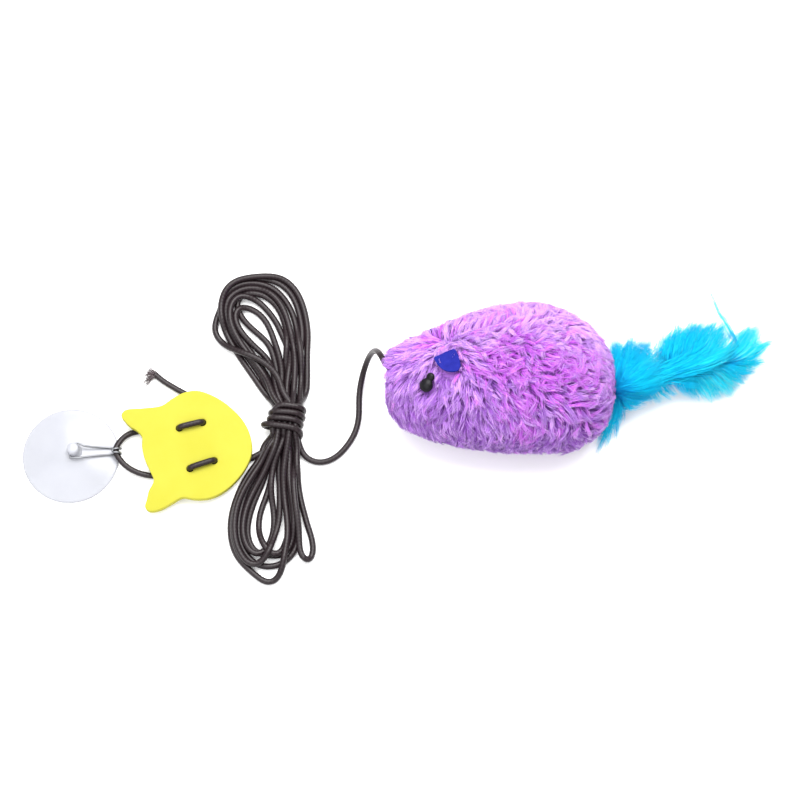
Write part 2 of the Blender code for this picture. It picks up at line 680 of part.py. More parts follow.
tube(
    "cord_frayed_tip",
    [(-102.6, 10.7, 1.6), (-103.8, 11.2, 1.8), (-105.6, 10.0, 2.0), (-107.2, 7.0, 1.9), (-108.2, 4.4, 1.6)],
    2.0,
    ((0.10, 0.06, 0.07), 0.9),
    radii=[1.0, 1.5, 1.6, 1.3, 0.6],
)

# ---------------------------------------------------------------- suction cup
CUP_AT = (-136.1, -24.2)
BOSS = (-134.3, -23.4, 6.9)  # the cross hole's middle
HOLE_TURN = math.radians(25)  # the cross hole leans this far from Y towards X
cup = turned(
    "suction_cup",
    (CUP_AT[0], CUP_AT[1], 0.0),
    [
        (0, 5.0), (4.6, 4.75), (7.0, 4.1), (12.0, 2.95), (16.5, 1.75), (19.0, 1.0), (19.8, 0.75), (20.0, 0.4),
        (19.8, 0.0), (18.9, 0.0), (17.0, 0.5), (12.0, 1.6), (6.0, 2.5), (0, 2.8),
    ],  # fmt: skip
    ((0.86, 0.89, 0.95), 0.12, 0.0, 0.5),
    steps=40,
)


def boss_form(bm):
    """A low cone whose upper rim is bevelled, so that the hook's shanks clear it in every position of the cup."""
    bmesh.ops.create_cone(bm, cap_ends=True, segments=20, radius1=3.0 * MM, radius2=2.4 * MM, depth=5.6 * MM)
    rim = [e for e in bm.edges if all(v.co.z > 0 for v in e.verts)]
    bmesh.ops.bevel(bm, geom=rim, offset=0.65 * MM, segments=1, affect="EDGES")


boss = as_cutter("boss_shape", mesh_from("boss_shape", boss_form))
boss.location = at(BOSS[0], BOSS[1], 4.0 + 2.8)
cut(cup, boss, "UNION")
cross = drum("boss_cross_hole", BOSS, WIRE_D / 2 + 0.35, 12, axis="Y", sides=14, cutter=True)
cross.rotation_euler = (math.pi / 2, 0, -HOLE_TURN)
cut(cup, cross)

# ---------------------------------------------------------------- wire hook: one hairpin of wire
ax, ay = math.sin(HOLE_TURN), math.cos(HOLE_TURN)
J_R = CORD_D / 2 + 0.45 + WIRE_D / 2


def hook_side(side):
    """Half of the hairpin, from its end in the boss to the middle of the closed tip. side is -1 near, +1 far."""
    end = (BOSS[0] + side * ax * 1.1, BOSS[1] + side * ay * 1.1, BOSS[2])
    out = (BOSS[0] + side * ax * 3.2, BOSS[1] + side * ay * 3.2, BOSS[2])
    low_y = LOOP_AT[1] + (-1.25 if side < 0 else 1.55)
    tip_y = LOOP_AT[1] + (-0.95 if side < 0 else 0.35)
    if side < 0:
        shank = [(BOSS[0] + 1.0, BOSS[1] - 3.75, 6.65), (-126.5, -25.4, 4.9), (-120.6, -24.4, 2.75)]
    else:
        shank = [(BOSS[0] + 4.6, BOSS[1] + 1.9, 6.5), (-125.4, -21.6, 4.7), (-120.6, -21.4, 2.75)]
    bend = []
    for k in range(8):
        a = math.radians(-95 + 205 * k / 7)
        y = low_y + (tip_y - low_y) * k / 7
        cord_x = LOOP_AT[0] + 0.1 * (y - LOOP_AT[1]) ** 2  # the loop curves away to both sides
        bend.append((cord_x + J_R * math.cos(a), y, LOOP_AT[2] + J_R * math.sin(a)))
    return [end, out], shank, bend


near_end, near_shank, near_bend = hook_side(-1)
far_end, far_shank, far_bend = hook_side(1)
tip_a, tip_b = Vector(near_bend[-1]), Vector(far_bend[-1])
back = Vector((-0.55, 0.0, -0.28))
tip = [tip_a * 0.75 + tip_b * 0.25 + back * 0.9, tip_a * 0.25 + tip_b * 0.75 + back * 0.9]
near = catmull([near_end[1]] + near_shank + near_bend[:1], per_span=3)
far = catmull([far_end[1]] + far_shank + far_bend[:1], per_span=3)
wire = [near_end[0]] + [tuple(p) for p in near] + near_bend[1:]
wire += [tuple(p) for p in tip]
wire += far_bend[:0:-1] + [tuple(p) for p in reversed(far)] + [far_end[0]]
tube("wire_hook", wire, WIRE_D, ((0.66, 0.67, 0.68), 0.25, 1.0), resolution=1)

for thing in parts.objects:
    if thing.type == "MESH":
        smooth(thing)
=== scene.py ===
import math

import bpy
import numpy as np
from mathutils import Matrix, Vector


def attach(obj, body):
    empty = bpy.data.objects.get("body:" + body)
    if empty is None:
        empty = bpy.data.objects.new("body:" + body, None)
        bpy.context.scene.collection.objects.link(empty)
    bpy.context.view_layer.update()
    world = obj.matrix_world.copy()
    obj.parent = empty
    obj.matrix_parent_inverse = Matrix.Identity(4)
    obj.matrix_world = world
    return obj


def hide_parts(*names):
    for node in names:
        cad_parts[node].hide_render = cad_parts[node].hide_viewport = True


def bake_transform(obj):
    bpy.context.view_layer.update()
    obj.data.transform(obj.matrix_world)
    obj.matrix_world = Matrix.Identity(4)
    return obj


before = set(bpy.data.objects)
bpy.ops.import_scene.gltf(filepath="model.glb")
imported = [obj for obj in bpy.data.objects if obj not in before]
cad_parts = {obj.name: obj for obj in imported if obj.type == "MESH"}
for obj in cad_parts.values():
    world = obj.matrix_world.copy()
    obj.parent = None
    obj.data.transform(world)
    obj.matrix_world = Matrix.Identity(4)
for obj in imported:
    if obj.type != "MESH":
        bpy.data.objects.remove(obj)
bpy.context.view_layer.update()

MM = 0.001
MID_X, MID_Y = 73.6, 2.5  # middle of the plush body and its tail, in the layout grid of the construction


def at(x, y, z):
    """A point of the layout grid, given in mm, in the row frame."""
    return Vector(((x - MID_X) * MM, (y - MID_Y) * MM, z * MM))


def grid(points):
    """An array of layout points in mm as an array in the row frame."""
    a = np.asarray(points, float) * MM
    a[:, 0] -= MID_X * MM
    a[:, 1] -= MID_Y * MM
    return a


# ---------------------------------------------------------------- camera, light, floor
scene = bpy.context.scene
scene.view_settings.view_transform = "Standard"

ELEVATION = math.radians(74)
cam_data = bpy.data.cameras.new("camera")
cam_data.lens = 108
cam_data.sensor_width = 36
cam_data.clip_start, cam_data.clip_end = 0.01, 20
cam = bpy.data.objects.new("camera", cam_data)
scene.collection.objects.link(cam)
aim = at(0, 0, 0)
cam.location = aim + Vector((0, -math.cos(ELEVATION), math.sin(ELEVATION)))
cam.rotation_mode = "QUATERNION"
cam.rotation_quaternion = (aim - cam.location).to_track_quat("-Z", "Y")
scene.camera = cam


def area(name, place, towards, size, watts, colour=(1, 1, 1)):
    lamp = bpy.data.lights.new(name, "AREA")
    lamp.shape = "RECTANGLE"
    lamp.size, lamp.size_y = size
    lamp.energy = watts
    lamp.color = colour
    thing = bpy.data.objects.new(name, lamp)
    scene.collection.objects.link(thing)
    thing.location = at(*place)
    thing.rotation_mode = "QUATERNION"
    thing.rotation_quaternion = (at(*towards) - thing.location).to_track_quat("-Z", "Y")
    return thing


area("key", (70, 330, 830), (10, 0, 10), (0.86, 0.66), 15.0, (1.0, 0.995, 0.985))
area("fill", (-320, -300, 700), (0, 0, 10), (0.8, 0.8), 4.4, (0.98, 0.985, 1.0))
world = bpy.data.worlds.new("studio")
scene.world = world
world.use_nodes = True
world.node_tree.nodes["Background"].inputs["Color"].default_value = (1.0, 1.0, 1.0, 1.0)
world.node_tree.nodes["Background"].inputs["Strength"].default_value = 0.70


# ---------------------------------------------------------------- materials
class Nodes:
    """A short way to write a material's nodes."""

    def __init__(self, name):
        self.mat = bpy.data.materials.new(name)
        self.mat.use_nodes = True
        self.tree = self.mat.node_tree
        self.shader = self.tree.nodes["Principled BSDF"]
        self.out = self.tree.nodes["Material Output"]

    def set(self, **values):
        for key, value in values.items():
            socket = self.shader.inputs[key.replace("_", " ")]
            socket.default_value = (*value, 1.0) if socket.type == "RGBA" and len(value) == 3 else value
        return self

    def add(self, kind, **settings):
        node = self.tree.nodes.new(kind)
        for key, value in settings.items():
            if key.startswith("in_"):
                name = key[3:]
                socket = node.inputs[int(name) if name.isdigit() else name.replace("_", " ")]
                if isinstance(value, bpy.types.NodeSocket):
                    self.tree.links.new(value, socket)
                else:
                    socket.default_value = value
            else:
                setattr(node, key, value)
        return node

    def link(self, source, target):
        if isinstance(target, str):
            target = self.shader.inputs[target]
        self.tree.links.new(source, target)

    def ramp(self, fac, stops, interpolation="LINEAR"):
        node = self.add("ShaderNodeValToRGB", in_Fac=fac)
        node.color_ramp.interpolation = interpolation
        stops_now = node.color_ramp.elements
        while len(stops_now) < len(stops):
            stops_now.new(0.5)
        for element, (place, colour) in zip(stops_now, stops):
            element.position = place
            element.color = (*colour, 1.0) if len(colour) == 3 else colour
        return node.outputs["Color"]

    def noise(self, vector, scale, detail=3.0, roughness=0.5, distortion=0.0):
        return self.add(
            "ShaderNodeTexNoise",
            in_Vector=vector,
            in_Scale=scale,
            in_Detail=detail,
            in_Roughness=roughness,
            in_Distortion=distortion,
        ).outputs["Fac"]

    def mix(self, fac, a, b, blend="MIX"):
        node = self.add("ShaderNodeMix", data_type="RGBA", blend_type=blend)
        for socket, value in ((node.inputs[0], fac), (node.inputs[6], a), (node.inputs[7], b)):
            if isinstance(value, bpy.types.NodeSocket):
                self.tree.links.new(value, socket)
            else:
                socket.default_value = (*value, 1.0) if isinstance(value, tuple) and len(value) == 3 else value
        return node.outputs[2]

    def math(self, operation, a, b=0.0, c=0.0, clamp=False):
        node = self.add("ShaderNodeMath", operation=operation, use_clamp=clamp)
        for socket, value in zip(node.inputs, (a, b, c)):
            if isinstance(value, bpy.types.NodeSocket):
                self.tree.links.new(value, socket)
            else:
                socket.default_value = value
        return node.outputs[0]

    def bump(self, height, strength=0.3, distance=0.0002):
        node = self.add("ShaderNodeBump", in_Height=height, in_Strength=strength, in_Distance=distance)
        self.link(node.outputs["Normal"], "Normal")
        return self

    def place(self):
        return self.add("ShaderNodeTexCoord").outputs["Object"]

    def uv(self, name="strand"):
        node = self.add("ShaderNodeUVMap")
        node.uv_map = name
        split = self.add("ShaderNodeSeparateXYZ", in_0=node.outputs["UV"])
        return split.outputs["X"], split.outputs["Y"], node.outputs["UV"]


floor_nodes = Nodes("floor_paper")
floor_nodes.set(Roughness=0.85, Specular_IOR_Level=0.2, Emission_Color=(1.0, 1.0, 1.0), Emission_Strength=0.10)
grain = floor_nodes.noise(floor_nodes.place(), 900.0, 2.0)
floor_nodes.link(floor_nodes.ramp(grain, [(0.3, (0.925, 0.925, 0.928)), (0.7, (0.945, 0.945, 0.948))]), "Base Color")

floor_mesh = bpy.data.meshes.new("floor")
S = 1.6
floor_mesh.from_pydata([(-S, -S, 0), (S, -S, 0), (S, S, 0), (-S, S, 0)], [], [(0, 1, 2, 3)])
floor_mesh.materials.append(floor_nodes.mat)
floor = bpy.data.objects.new("floor", floor_mesh)
floor.location = (0, 0, -0.00005)
scene.collection.objects.link(floor)

# Cord: a braided sleeve over rubber, dark brown, a little shiny on the yarn
n = Nodes("cord_braid")
n.set(Roughness=0.36, Specular_IOR_Level=0.30)
u, v, uv = n.uv()
# the yarns run both ways round the cord; u goes once round, v is the length in mm
turn_a = n.math("SINE", n.math("ADD", n.math("MULTIPLY", u, 2 * math.pi * 6), n.math("MULTIPLY", v, 2.1)))
turn_b = n.math("SINE", n.math("SUBTRACT", n.math("MULTIPLY", u, 2 * math.pi * 6), n.math("MULTIPLY", v, 2.1)))
yarn = n.math("MULTIPLY_ADD", n.math("MULTIPLY", turn_a, turn_b), 0.5, 0.5)
patch = n.noise(n.place(), 60.0, 3.0)
# the ramp paints the yarn crowns lighter and the grooves between them darker: painted highlight and painted shade over
# the weave; the warm patches are the cord's own tone
dark = n.ramp(yarn, [(0.0, (0.004, 0.003, 0.0035)), (0.5, (0.011, 0.008, 0.0092)), (1.0, (0.020, 0.0152, 0.0172))])
warm = n.mix(n.math("MULTIPLY", patch, 0.5), dark, (0.026, 0.012, 0.016))
n.link(warm, "Base Color")
n.bump(yarn, 0.40, 0.00010)
CORD = n.mat

n = Nodes("cord_end_fibre")
n.set(Roughness=0.7, Sheen_Weight=0.3)
n.link(n.ramp(n.noise(n.place(), 1400.0, 2.0), [(0.3, (0.035, 0.020, 0.024)), (0.7, (0.120, 0.085, 0.095))]), "Base Color")
FRAY = n.mat

# Slider: die-cut EVA foam with tiny cells
n = Nodes("yellow_foam")
n.set(Roughness=0.78, Specular_IOR_Level=0.2, Subsurface_Weight=0.12, Subsurface_Scale=0.001, Subsurface_Radius=(1.0, 0.9, 0.3))
where = n.place()
cells = n.add("ShaderNodeTexVoronoi", in_Vector=where, in_Scale=2600.0).outputs["Distance"]
soft = n.noise(where, 70.0, 4.0)
n.link(n.ramp(soft, [(0.3, (0.398, 0.376, 0.034)), (0.7, (0.424, 0.401, 0.043))]), "Base Color")
n.bump(n.math("ADD", cells, n.math("MULTIPLY", n.noise(where, 500.0, 3.0), 0.6)), 0.25, 0.00006)
FOAM = n.mat

# Suction cup: soft clear PVC with a bluish cast
n = Nodes("clear_pvc")
n.set(Roughness=0.22, IOR=1.45, Transmission_Weight=0.40)
n.link(n.ramp(n.noise(n.place(), 120.0, 3.0), [(0.3, (0.530, 0.540, 0.590)), (0.7, (0.552, 0.562, 0.608))]), "Base Color")
n.bump(n.noise(n.place(), 90.0, 2.0), 0.06, 0.0002)
PVC = n.mat

# Hook: bright spring wire
n = Nodes("spring_wire")
n.set(Metallic=1.0)
scratch = n.noise(n.place(), 300.0, 2.0)
n.link(n.ramp(scratch, [(0.3, (0.205, 0.21, 0.225)), (0.7, (0.255, 0.26, 0.275))]), "Base Color")
n.link(n.ramp(scratch, [(0.3, (0.34, 0.34, 0.34)), (0.7, (0.40, 0.40, 0.40))]), "Roughness")
WIRE = n.mat


# ---------------------------------------------------------------- geometry helpers
def curve_through(points, spacing):
    """Evenly spaced points, spacing apart, on a centripetal Catmull-Rom curve through points."""
    p = np.asarray(points, float)
    ends = np.vstack([2 * p[0] - p[1], p, 2 * p[-1] - p[-2]])
    dense = []
    for i in range(len(p) - 1):
        p0, p1, p2, p3 = ends[i : i + 4]
        t1 = max(np.linalg.norm(p1 - p0), 1e-9) ** 0.5
        t2 = t1 + max(np.linalg.norm(p2 - p1), 1e-9) ** 0.5
        t3 = t2 + max(np.linalg.norm(p3 - p2), 1e-9) ** 0.5
        t = np.linspace(t1, t2, 24, endpoint=False)[:, None]
        a1 = p0 * (t1 - t) / t1 + p1 * t / t1
        a2 = p1 * (t2 - t) / (t2 - t1) + p2 * (t - t1) / (t2 - t1)
        a3 = p2 * (t3 - t) / (t3 - t2) + p3 * (t - t2) / (t3 - t2)
        b1 = a1 * (t2 - t) / t2 + a2 * t / t2
        b2 = a2 * (t3 - t) / (t3 - t1) + a3 * (t - t1) / (t3 - t1)
        dense.append(b1 * (t2 - t) / (t2 - t1) + b2 * (t - t1) / (t2 - t1))
    dense = np.vstack(dense + [p[-1:]])
    return evenly(dense, spacing)


def evenly(line, spacing):
    """line, resampled to points that are spacing apart."""
    step = np.linalg.norm(np.diff(line, axis=0), axis=1)
    s = np.concatenate([[0], np.cumsum(step)])
    count = max(2, int(round(s[-1] / spacing)) + 1)
    want = np.linspace(0, s[-1], count)
    return np.stack([np.interp(want, s, line[:, k]) for k in range(3)], axis=1)


def frames_along(line):
    """Unit tangents and two unit normals that don't twist, at each point of line."""
    t = np.gradient(line, axis=0)
    t /= np.maximum(np.linalg.norm(t, axis=1), 1e-12)[:, None]
    a = np.zeros_like(t)
    first = np.cross(t[0], [0.0, 0.0, 1.0])
    if np.linalg.norm(first) < 0.1:
        first = np.cross(t[0], [0.0, 1.0, 0.0])
    a[0] = first / np.linalg.norm(first)
    for i in range(1, len(t)):
        w = a[i - 1] - t[i] * (a[i - 1] @ t[i])
        a[i] = w / max(np.linalg.norm(w), 1e-12)
    return t, a, np.cross(t, a)


def mesh_object(name, points, faces, mat, uvs=None, smooth=True, normals_out=False):
    """A mesh object in the row frame. faces is an array of quads or a list; uvs are for its corners."""
    mesh = bpy.data.meshes.new(name)
    points = np.asarray(points, np.float32)
    if isinstance(faces, np.ndarray):
        count, width = faces.shape
        mesh.vertices.add(len(points))
        mesh.vertices.foreach_set("co", points.ravel())
        mesh.loops.add(count * width)
        mesh.loops.foreach_set("vertex_index", faces.ravel().astype(np.int32))
        mesh.polygons.add(count)
        mesh.polygons.foreach_set("loop_start", np.arange(count, dtype=np.int32) * width)
        mesh.update(calc_edges=True)
    else:
        mesh.from_pydata(points.tolist(), [], faces)
    if uvs is not None:
        layer = mesh.uv_layers.new(name="strand")
        layer.data.foreach_set("uv", np.asarray(uvs, np.float32).ravel())
    mesh.materials.append(mat)
    if smooth:
        mesh.polygons.foreach_set("use_smooth", np.ones(len(mesh.polygons), bool))
    mesh.update()
    mesh.validate()
    thing = bpy.data.objects.new(name, mesh)
    scene.collection.objects.link(thing)
    return thing


def swept(name, line, radius, mat, sides=12, relief=None, scale_uv=1000.0):
    """A closed tube along line, in metres. radius is a number or one for each point. relief(angle, length in mm) scales it."""
    line = np.asarray(line, float)
    count = len(line)
    t, a, b = frames_along(line)
    r = np.broadcast_to(np.asarray(radius, float), (count,))
    s = np.concatenate([[0], np.cumsum(np.linalg.norm(np.diff(line, axis=0), axis=1))]) * scale_uv
    phi = np.arange(sides) / sides * 2 * math.pi
    scale = np.ones((count, sides))
    if relief is not None:
        scale = relief(phi[None, :], s[:, None])
    around = (
        a[:, None, :] * np.cos(phi)[None, :, None] + b[:, None, :] * np.sin(phi)[None, :, None]
    ) * (r[:, None] * scale)[:, :, None]
    points = (line[:, None, :] + around).reshape(-1, 3)
    i, k = np.meshgrid(np.arange(count - 1), np.arange(sides), indexing="ij")
    k2 = (k + 1) % sides
    quads = np.stack([i * sides + k, i * sides + k2, (i + 1) * sides + k2, (i + 1) * sides + k], -1).reshape(-1, 4)
    u0, u1 = k / sides, (k + 1) / sides
    uv = np.stack(
        [np.stack([u0, s[i]], -1), np.stack([u1, s[i]], -1), np.stack([u1, s[i + 1]], -1), np.stack([u0, s[i + 1]], -1)],
        axis=2,
    ).reshape(-1, 2)
    # both ends are closed by a fan of triangles, written as quads with a doubled corner left out below
    low, high = len(points), len(points) + 1
    cap = r[0] * 0.35, r[-1] * 0.35
    points = np.vstack([points, line[0] - t[0] * cap[0], line[-1] + t[-1] * cap[1]])
    faces = [tuple(q) for q in quads.tolist()]
    corner_uv = [tuple(c) for c in uv.tolist()]
    for q in range(sides):
        q2 = (q + 1) % sides
        faces.append((low, q2, q))
        corner_uv += [((q + 0.5) / sides, 0.0), ((q + 1) / sides, 0.0), (q / sides, 0.0)]
        base = (count - 1) * sides
        faces.append((high, base + q, base + q2))
        corner_uv += [((q + 0.5) / sides, s[-1]), (q / sides, s[-1]), ((q + 1) / sides, s[-1])]
    return mesh_object(name, points, faces, mat, corner_uv)


def braid(phi, s):
    """The swell of the yarns of a braided sleeve."""
    return 1.0 + 0.035 * np.sin(6 * phi + 2.1 * s) * np.sin(6 * phi - 2.1 * s)


CORD_R = 1.25  # mm, the mean over the braid
BRAID_R = 1.32  # mm, over the crowns of its yarns


# ---------------------------------------------------------------- the cord's route
LEAD = [
    (-1.5, 5.1, 27.1), (-3.4, 5.2, 27.2), (-5.7, 6.2, 28.1), (-7.2, 9.8, 28.5), (-8.9, 13.4, 24.8),
    (-10.8, 15.6, 18.6), (-12.9, 15.1, 11.6), (-14.9, 11.6, 5.6), (-16.4, 6.2, 2.2), (-17.1, 0.2, 1.4),
    (-17.0, -6.2, 1.35), (-18.2, -13.4, 1.35), (-21.9, -20.2, 1.35), (-27.0, -25.4, 1.35), (-32.6, -27.4, 1.35),
    (-36.9, -26.5, 1.35), (-39.7, -24.3, 1.35), (-41.3, -21.4, 1.6), (-42.1, -17.9, 2.5),
]  # fmt: skip

# Loops of the hank past the upper end of the waist, each from its right end up and round to its left end: x, y, layer
UPPER = [
    [(-45.3, -2.1, 0), (-44.8, 3.9, 0), (-43.8, 10.5, 0), (-42.4, 17.0, 0), (-41.3, 23.1, 0), (-41.0, 28.4, 0), (-41.6, 34.1, 0), (-42.8, 39.4, 0), (-44.4, 43.6, 0), (-46.8, 47.4, 0), (-50.0, 50.5, 0), (-54.7, 52.3, 0), (-59.9, 52.3, 0), (-64.6, 51.6, 0), (-68.3, 50.1, 0), (-71.0, 47.4, 0), (-72.4, 43.4, 0), (-71.9, 37.2, 0), (-70.5, 32.4, 0), (-67.9, 27.7, 0), (-64.9, 23.1, 0), (-61.7, 18.5, 0), (-58.5, 13.5, 0), (-55.5, 8.3, 0), (-52.9, 2.6, 0), (-52.0, -2.1, 0)],
    [(-41.8, -3.7, 2), (-41.3, 1.9, 2), (-41.1, 8.5, 1), (-41.2, 15.5, 1), (-41.7, 22.9, 1), (-42.5, 28.8, 0), (-43.7, 33.7, 0), (-45.5, 38.3, 0), (-47.8, 42.5, 0), (-51.0, 46.6, 0), (-55.3, 49.6, 0), (-59.9, 51.0, 0), (-64.1, 51.0, 0), (-67.7, 49.9, 0), (-71.2, 47.6, 0), (-73.5, 43.9, 0), (-75.3, 39.4, 0), (-77.0, 35.5, 0), (-77.8, 31.5, 0), (-77.1, 27.3, 1), (-74.9, 24.2, 1), (-71.5, 21.4, 2), (-67.4, 19.2, 3), (-63.2, 17.7, 3), (-59.0, 15.7, 3), (-55.2, 13.1, 3), (-51.9, 9.7, 3), (-49.7, 5.3, 3), (-48.6, 0.5, 3), (-48.1, -4.2, 3)],
    [(-40.2, -3.2, 1), (-39.1, 2.5, 1), (-38.8, 9.2, 0), (-38.9, 16.1, 0), (-39.0, 23.6, 0), (-39.2, 30.4, 1), (-40.0, 36.5, 1), (-41.6, 42.3, 1), (-44.0, 47.1, 1), (-47.2, 50.6, 1), (-51.0, 52.6, 1), (-55.6, 53.2, 1), (-60.7, 53.0, 1), (-64.9, 52.3, 1), (-68.6, 51.0, 1), (-71.6, 49.0, 1), (-73.5, 46.1, 1), (-74.5, 42.3, 1), (-74.7, 37.8, 1), (-73.8, 33.4, 1), (-72.6, 29.7, 0), (-70.8, 25.3, 0), (-68.4, 20.7, 0), (-65.6, 16.2, 0), (-62.6, 11.8, 0), (-59.6, 7.4, 0), (-56.6, 3.1, 0), (-53.7, -2.7, 1)],
    [(-44.7, -3.7, 2), (-44.2, 1.9, 2), (-43.9, 8.0, 2), (-44.1, 15.5, 1), (-44.8, 22.0, 1), (-45.9, 26.7, 2), (-46.9, 31.1, 2), (-48.1, 35.5, 2), (-50.1, 39.9, 2), (-52.6, 43.4, 2), (-55.8, 45.9, 2), (-59.3, 48.0, 1), (-63.1, 48.5, 1), (-66.9, 47.9, 1), (-70.0, 46.2, 1), (-72.2, 43.6, 1), (-73.1, 40.1, 1), (-72.9, 36.1, 1), (-71.4, 31.2, 1), (-69.0, 26.4, 1), (-66.2, 21.8, 1), (-63.0, 17.4, 1), (-59.6, 12.9, 1), (-56.6, 8.1, 1), (-54.0, 3.3, 1), (-52.0, -3.3, 2)],
    [(-47.2, -3.7, 2), (-47.1, 1.9, 2), (-46.9, 8.0, 2), (-46.9, 15.5, 1), (-46.9, 20.7, 1), (-47.2, 25.1, 1), (-47.7, 30.2, 0), (-48.6, 33.9, 0), (-50.0, 37.9, 0), (-52.4, 41.7, 0), (-55.6, 44.6, 0), (-59.3, 45.7, 1), (-63.1, 46.2, 1), (-66.4, 46.1, 0), (-68.6, 43.4, 0), (-68.4, 39.4, 0), (-66.2, 35.2, 0), (-63.4, 31.9, 0), (-60.4, 29.2, 0), (-57.4, 26.6, 0), (-54.9, 23.9, 0), (-53.1, 20.3, 0), (-52.0, 15.7, 0), (-50.9, 10.0, 0), (-50.0, 3.9, 0), (-49.4, -2.7, 1)],
    [(-47.9, -4.2, 3), (-47.7, 1.9, 2), (-46.9, 8.0, 2), (-46.4, 13.2, 2), (-46.6, 19.0, 1), (-47.7, 23.8, 1), (-49.4, 28.2, 1), (-51.5, 32.3, 1), (-54.0, 36.1, 1), (-57.1, 39.7, 1), (-60.3, 42.6, 1), (-63.6, 43.6, 2), (-66.7, 44.6, 2), (-69.2, 43.7, 2), (-70.9, 41.4, 2), (-71.5, 37.9, 2), (-71.1, 33.7, 2), (-69.8, 29.3, 2), (-67.8, 25.2, 2), (-65.2, 21.0, 2), (-62.3, 17.1, 2), (-59.2, 13.7, 1), (-56.2, 9.4, 1), (-53.7, 4.1, 2), (-52.2, 0.2, 2), (-51.7, -3.8, 3)],
    [(-50.1, -3.7, 2), (-49.7, 2.5, 1), (-49.4, 7.7, 1), (-49.6, 12.0, 1), (-50.3, 16.4, 1), (-51.6, 20.7, 1), (-52.9, 25.1, 1), (-54.4, 29.3, 1), (-56.2, 33.0, 1), (-58.6, 36.1, 1), (-61.7, 38.4, 1), (-65.1, 39.5, 1), (-67.7, 38.8, 2), (-69.3, 37.2, 2), (-69.7, 34.4, 2), (-68.6, 30.9, 2), (-66.5, 27.6, 2), (-63.8, 24.5, 2), (-60.9, 21.6, 2), (-57.8, 18.9, 2), (-55.0, 15.8, 2), (-52.8, 11.6, 2), (-51.7, 6.7, 2), (-51.0, 1.9, 2), (-50.9, -3.3, 2)],
]  # fmt: skip
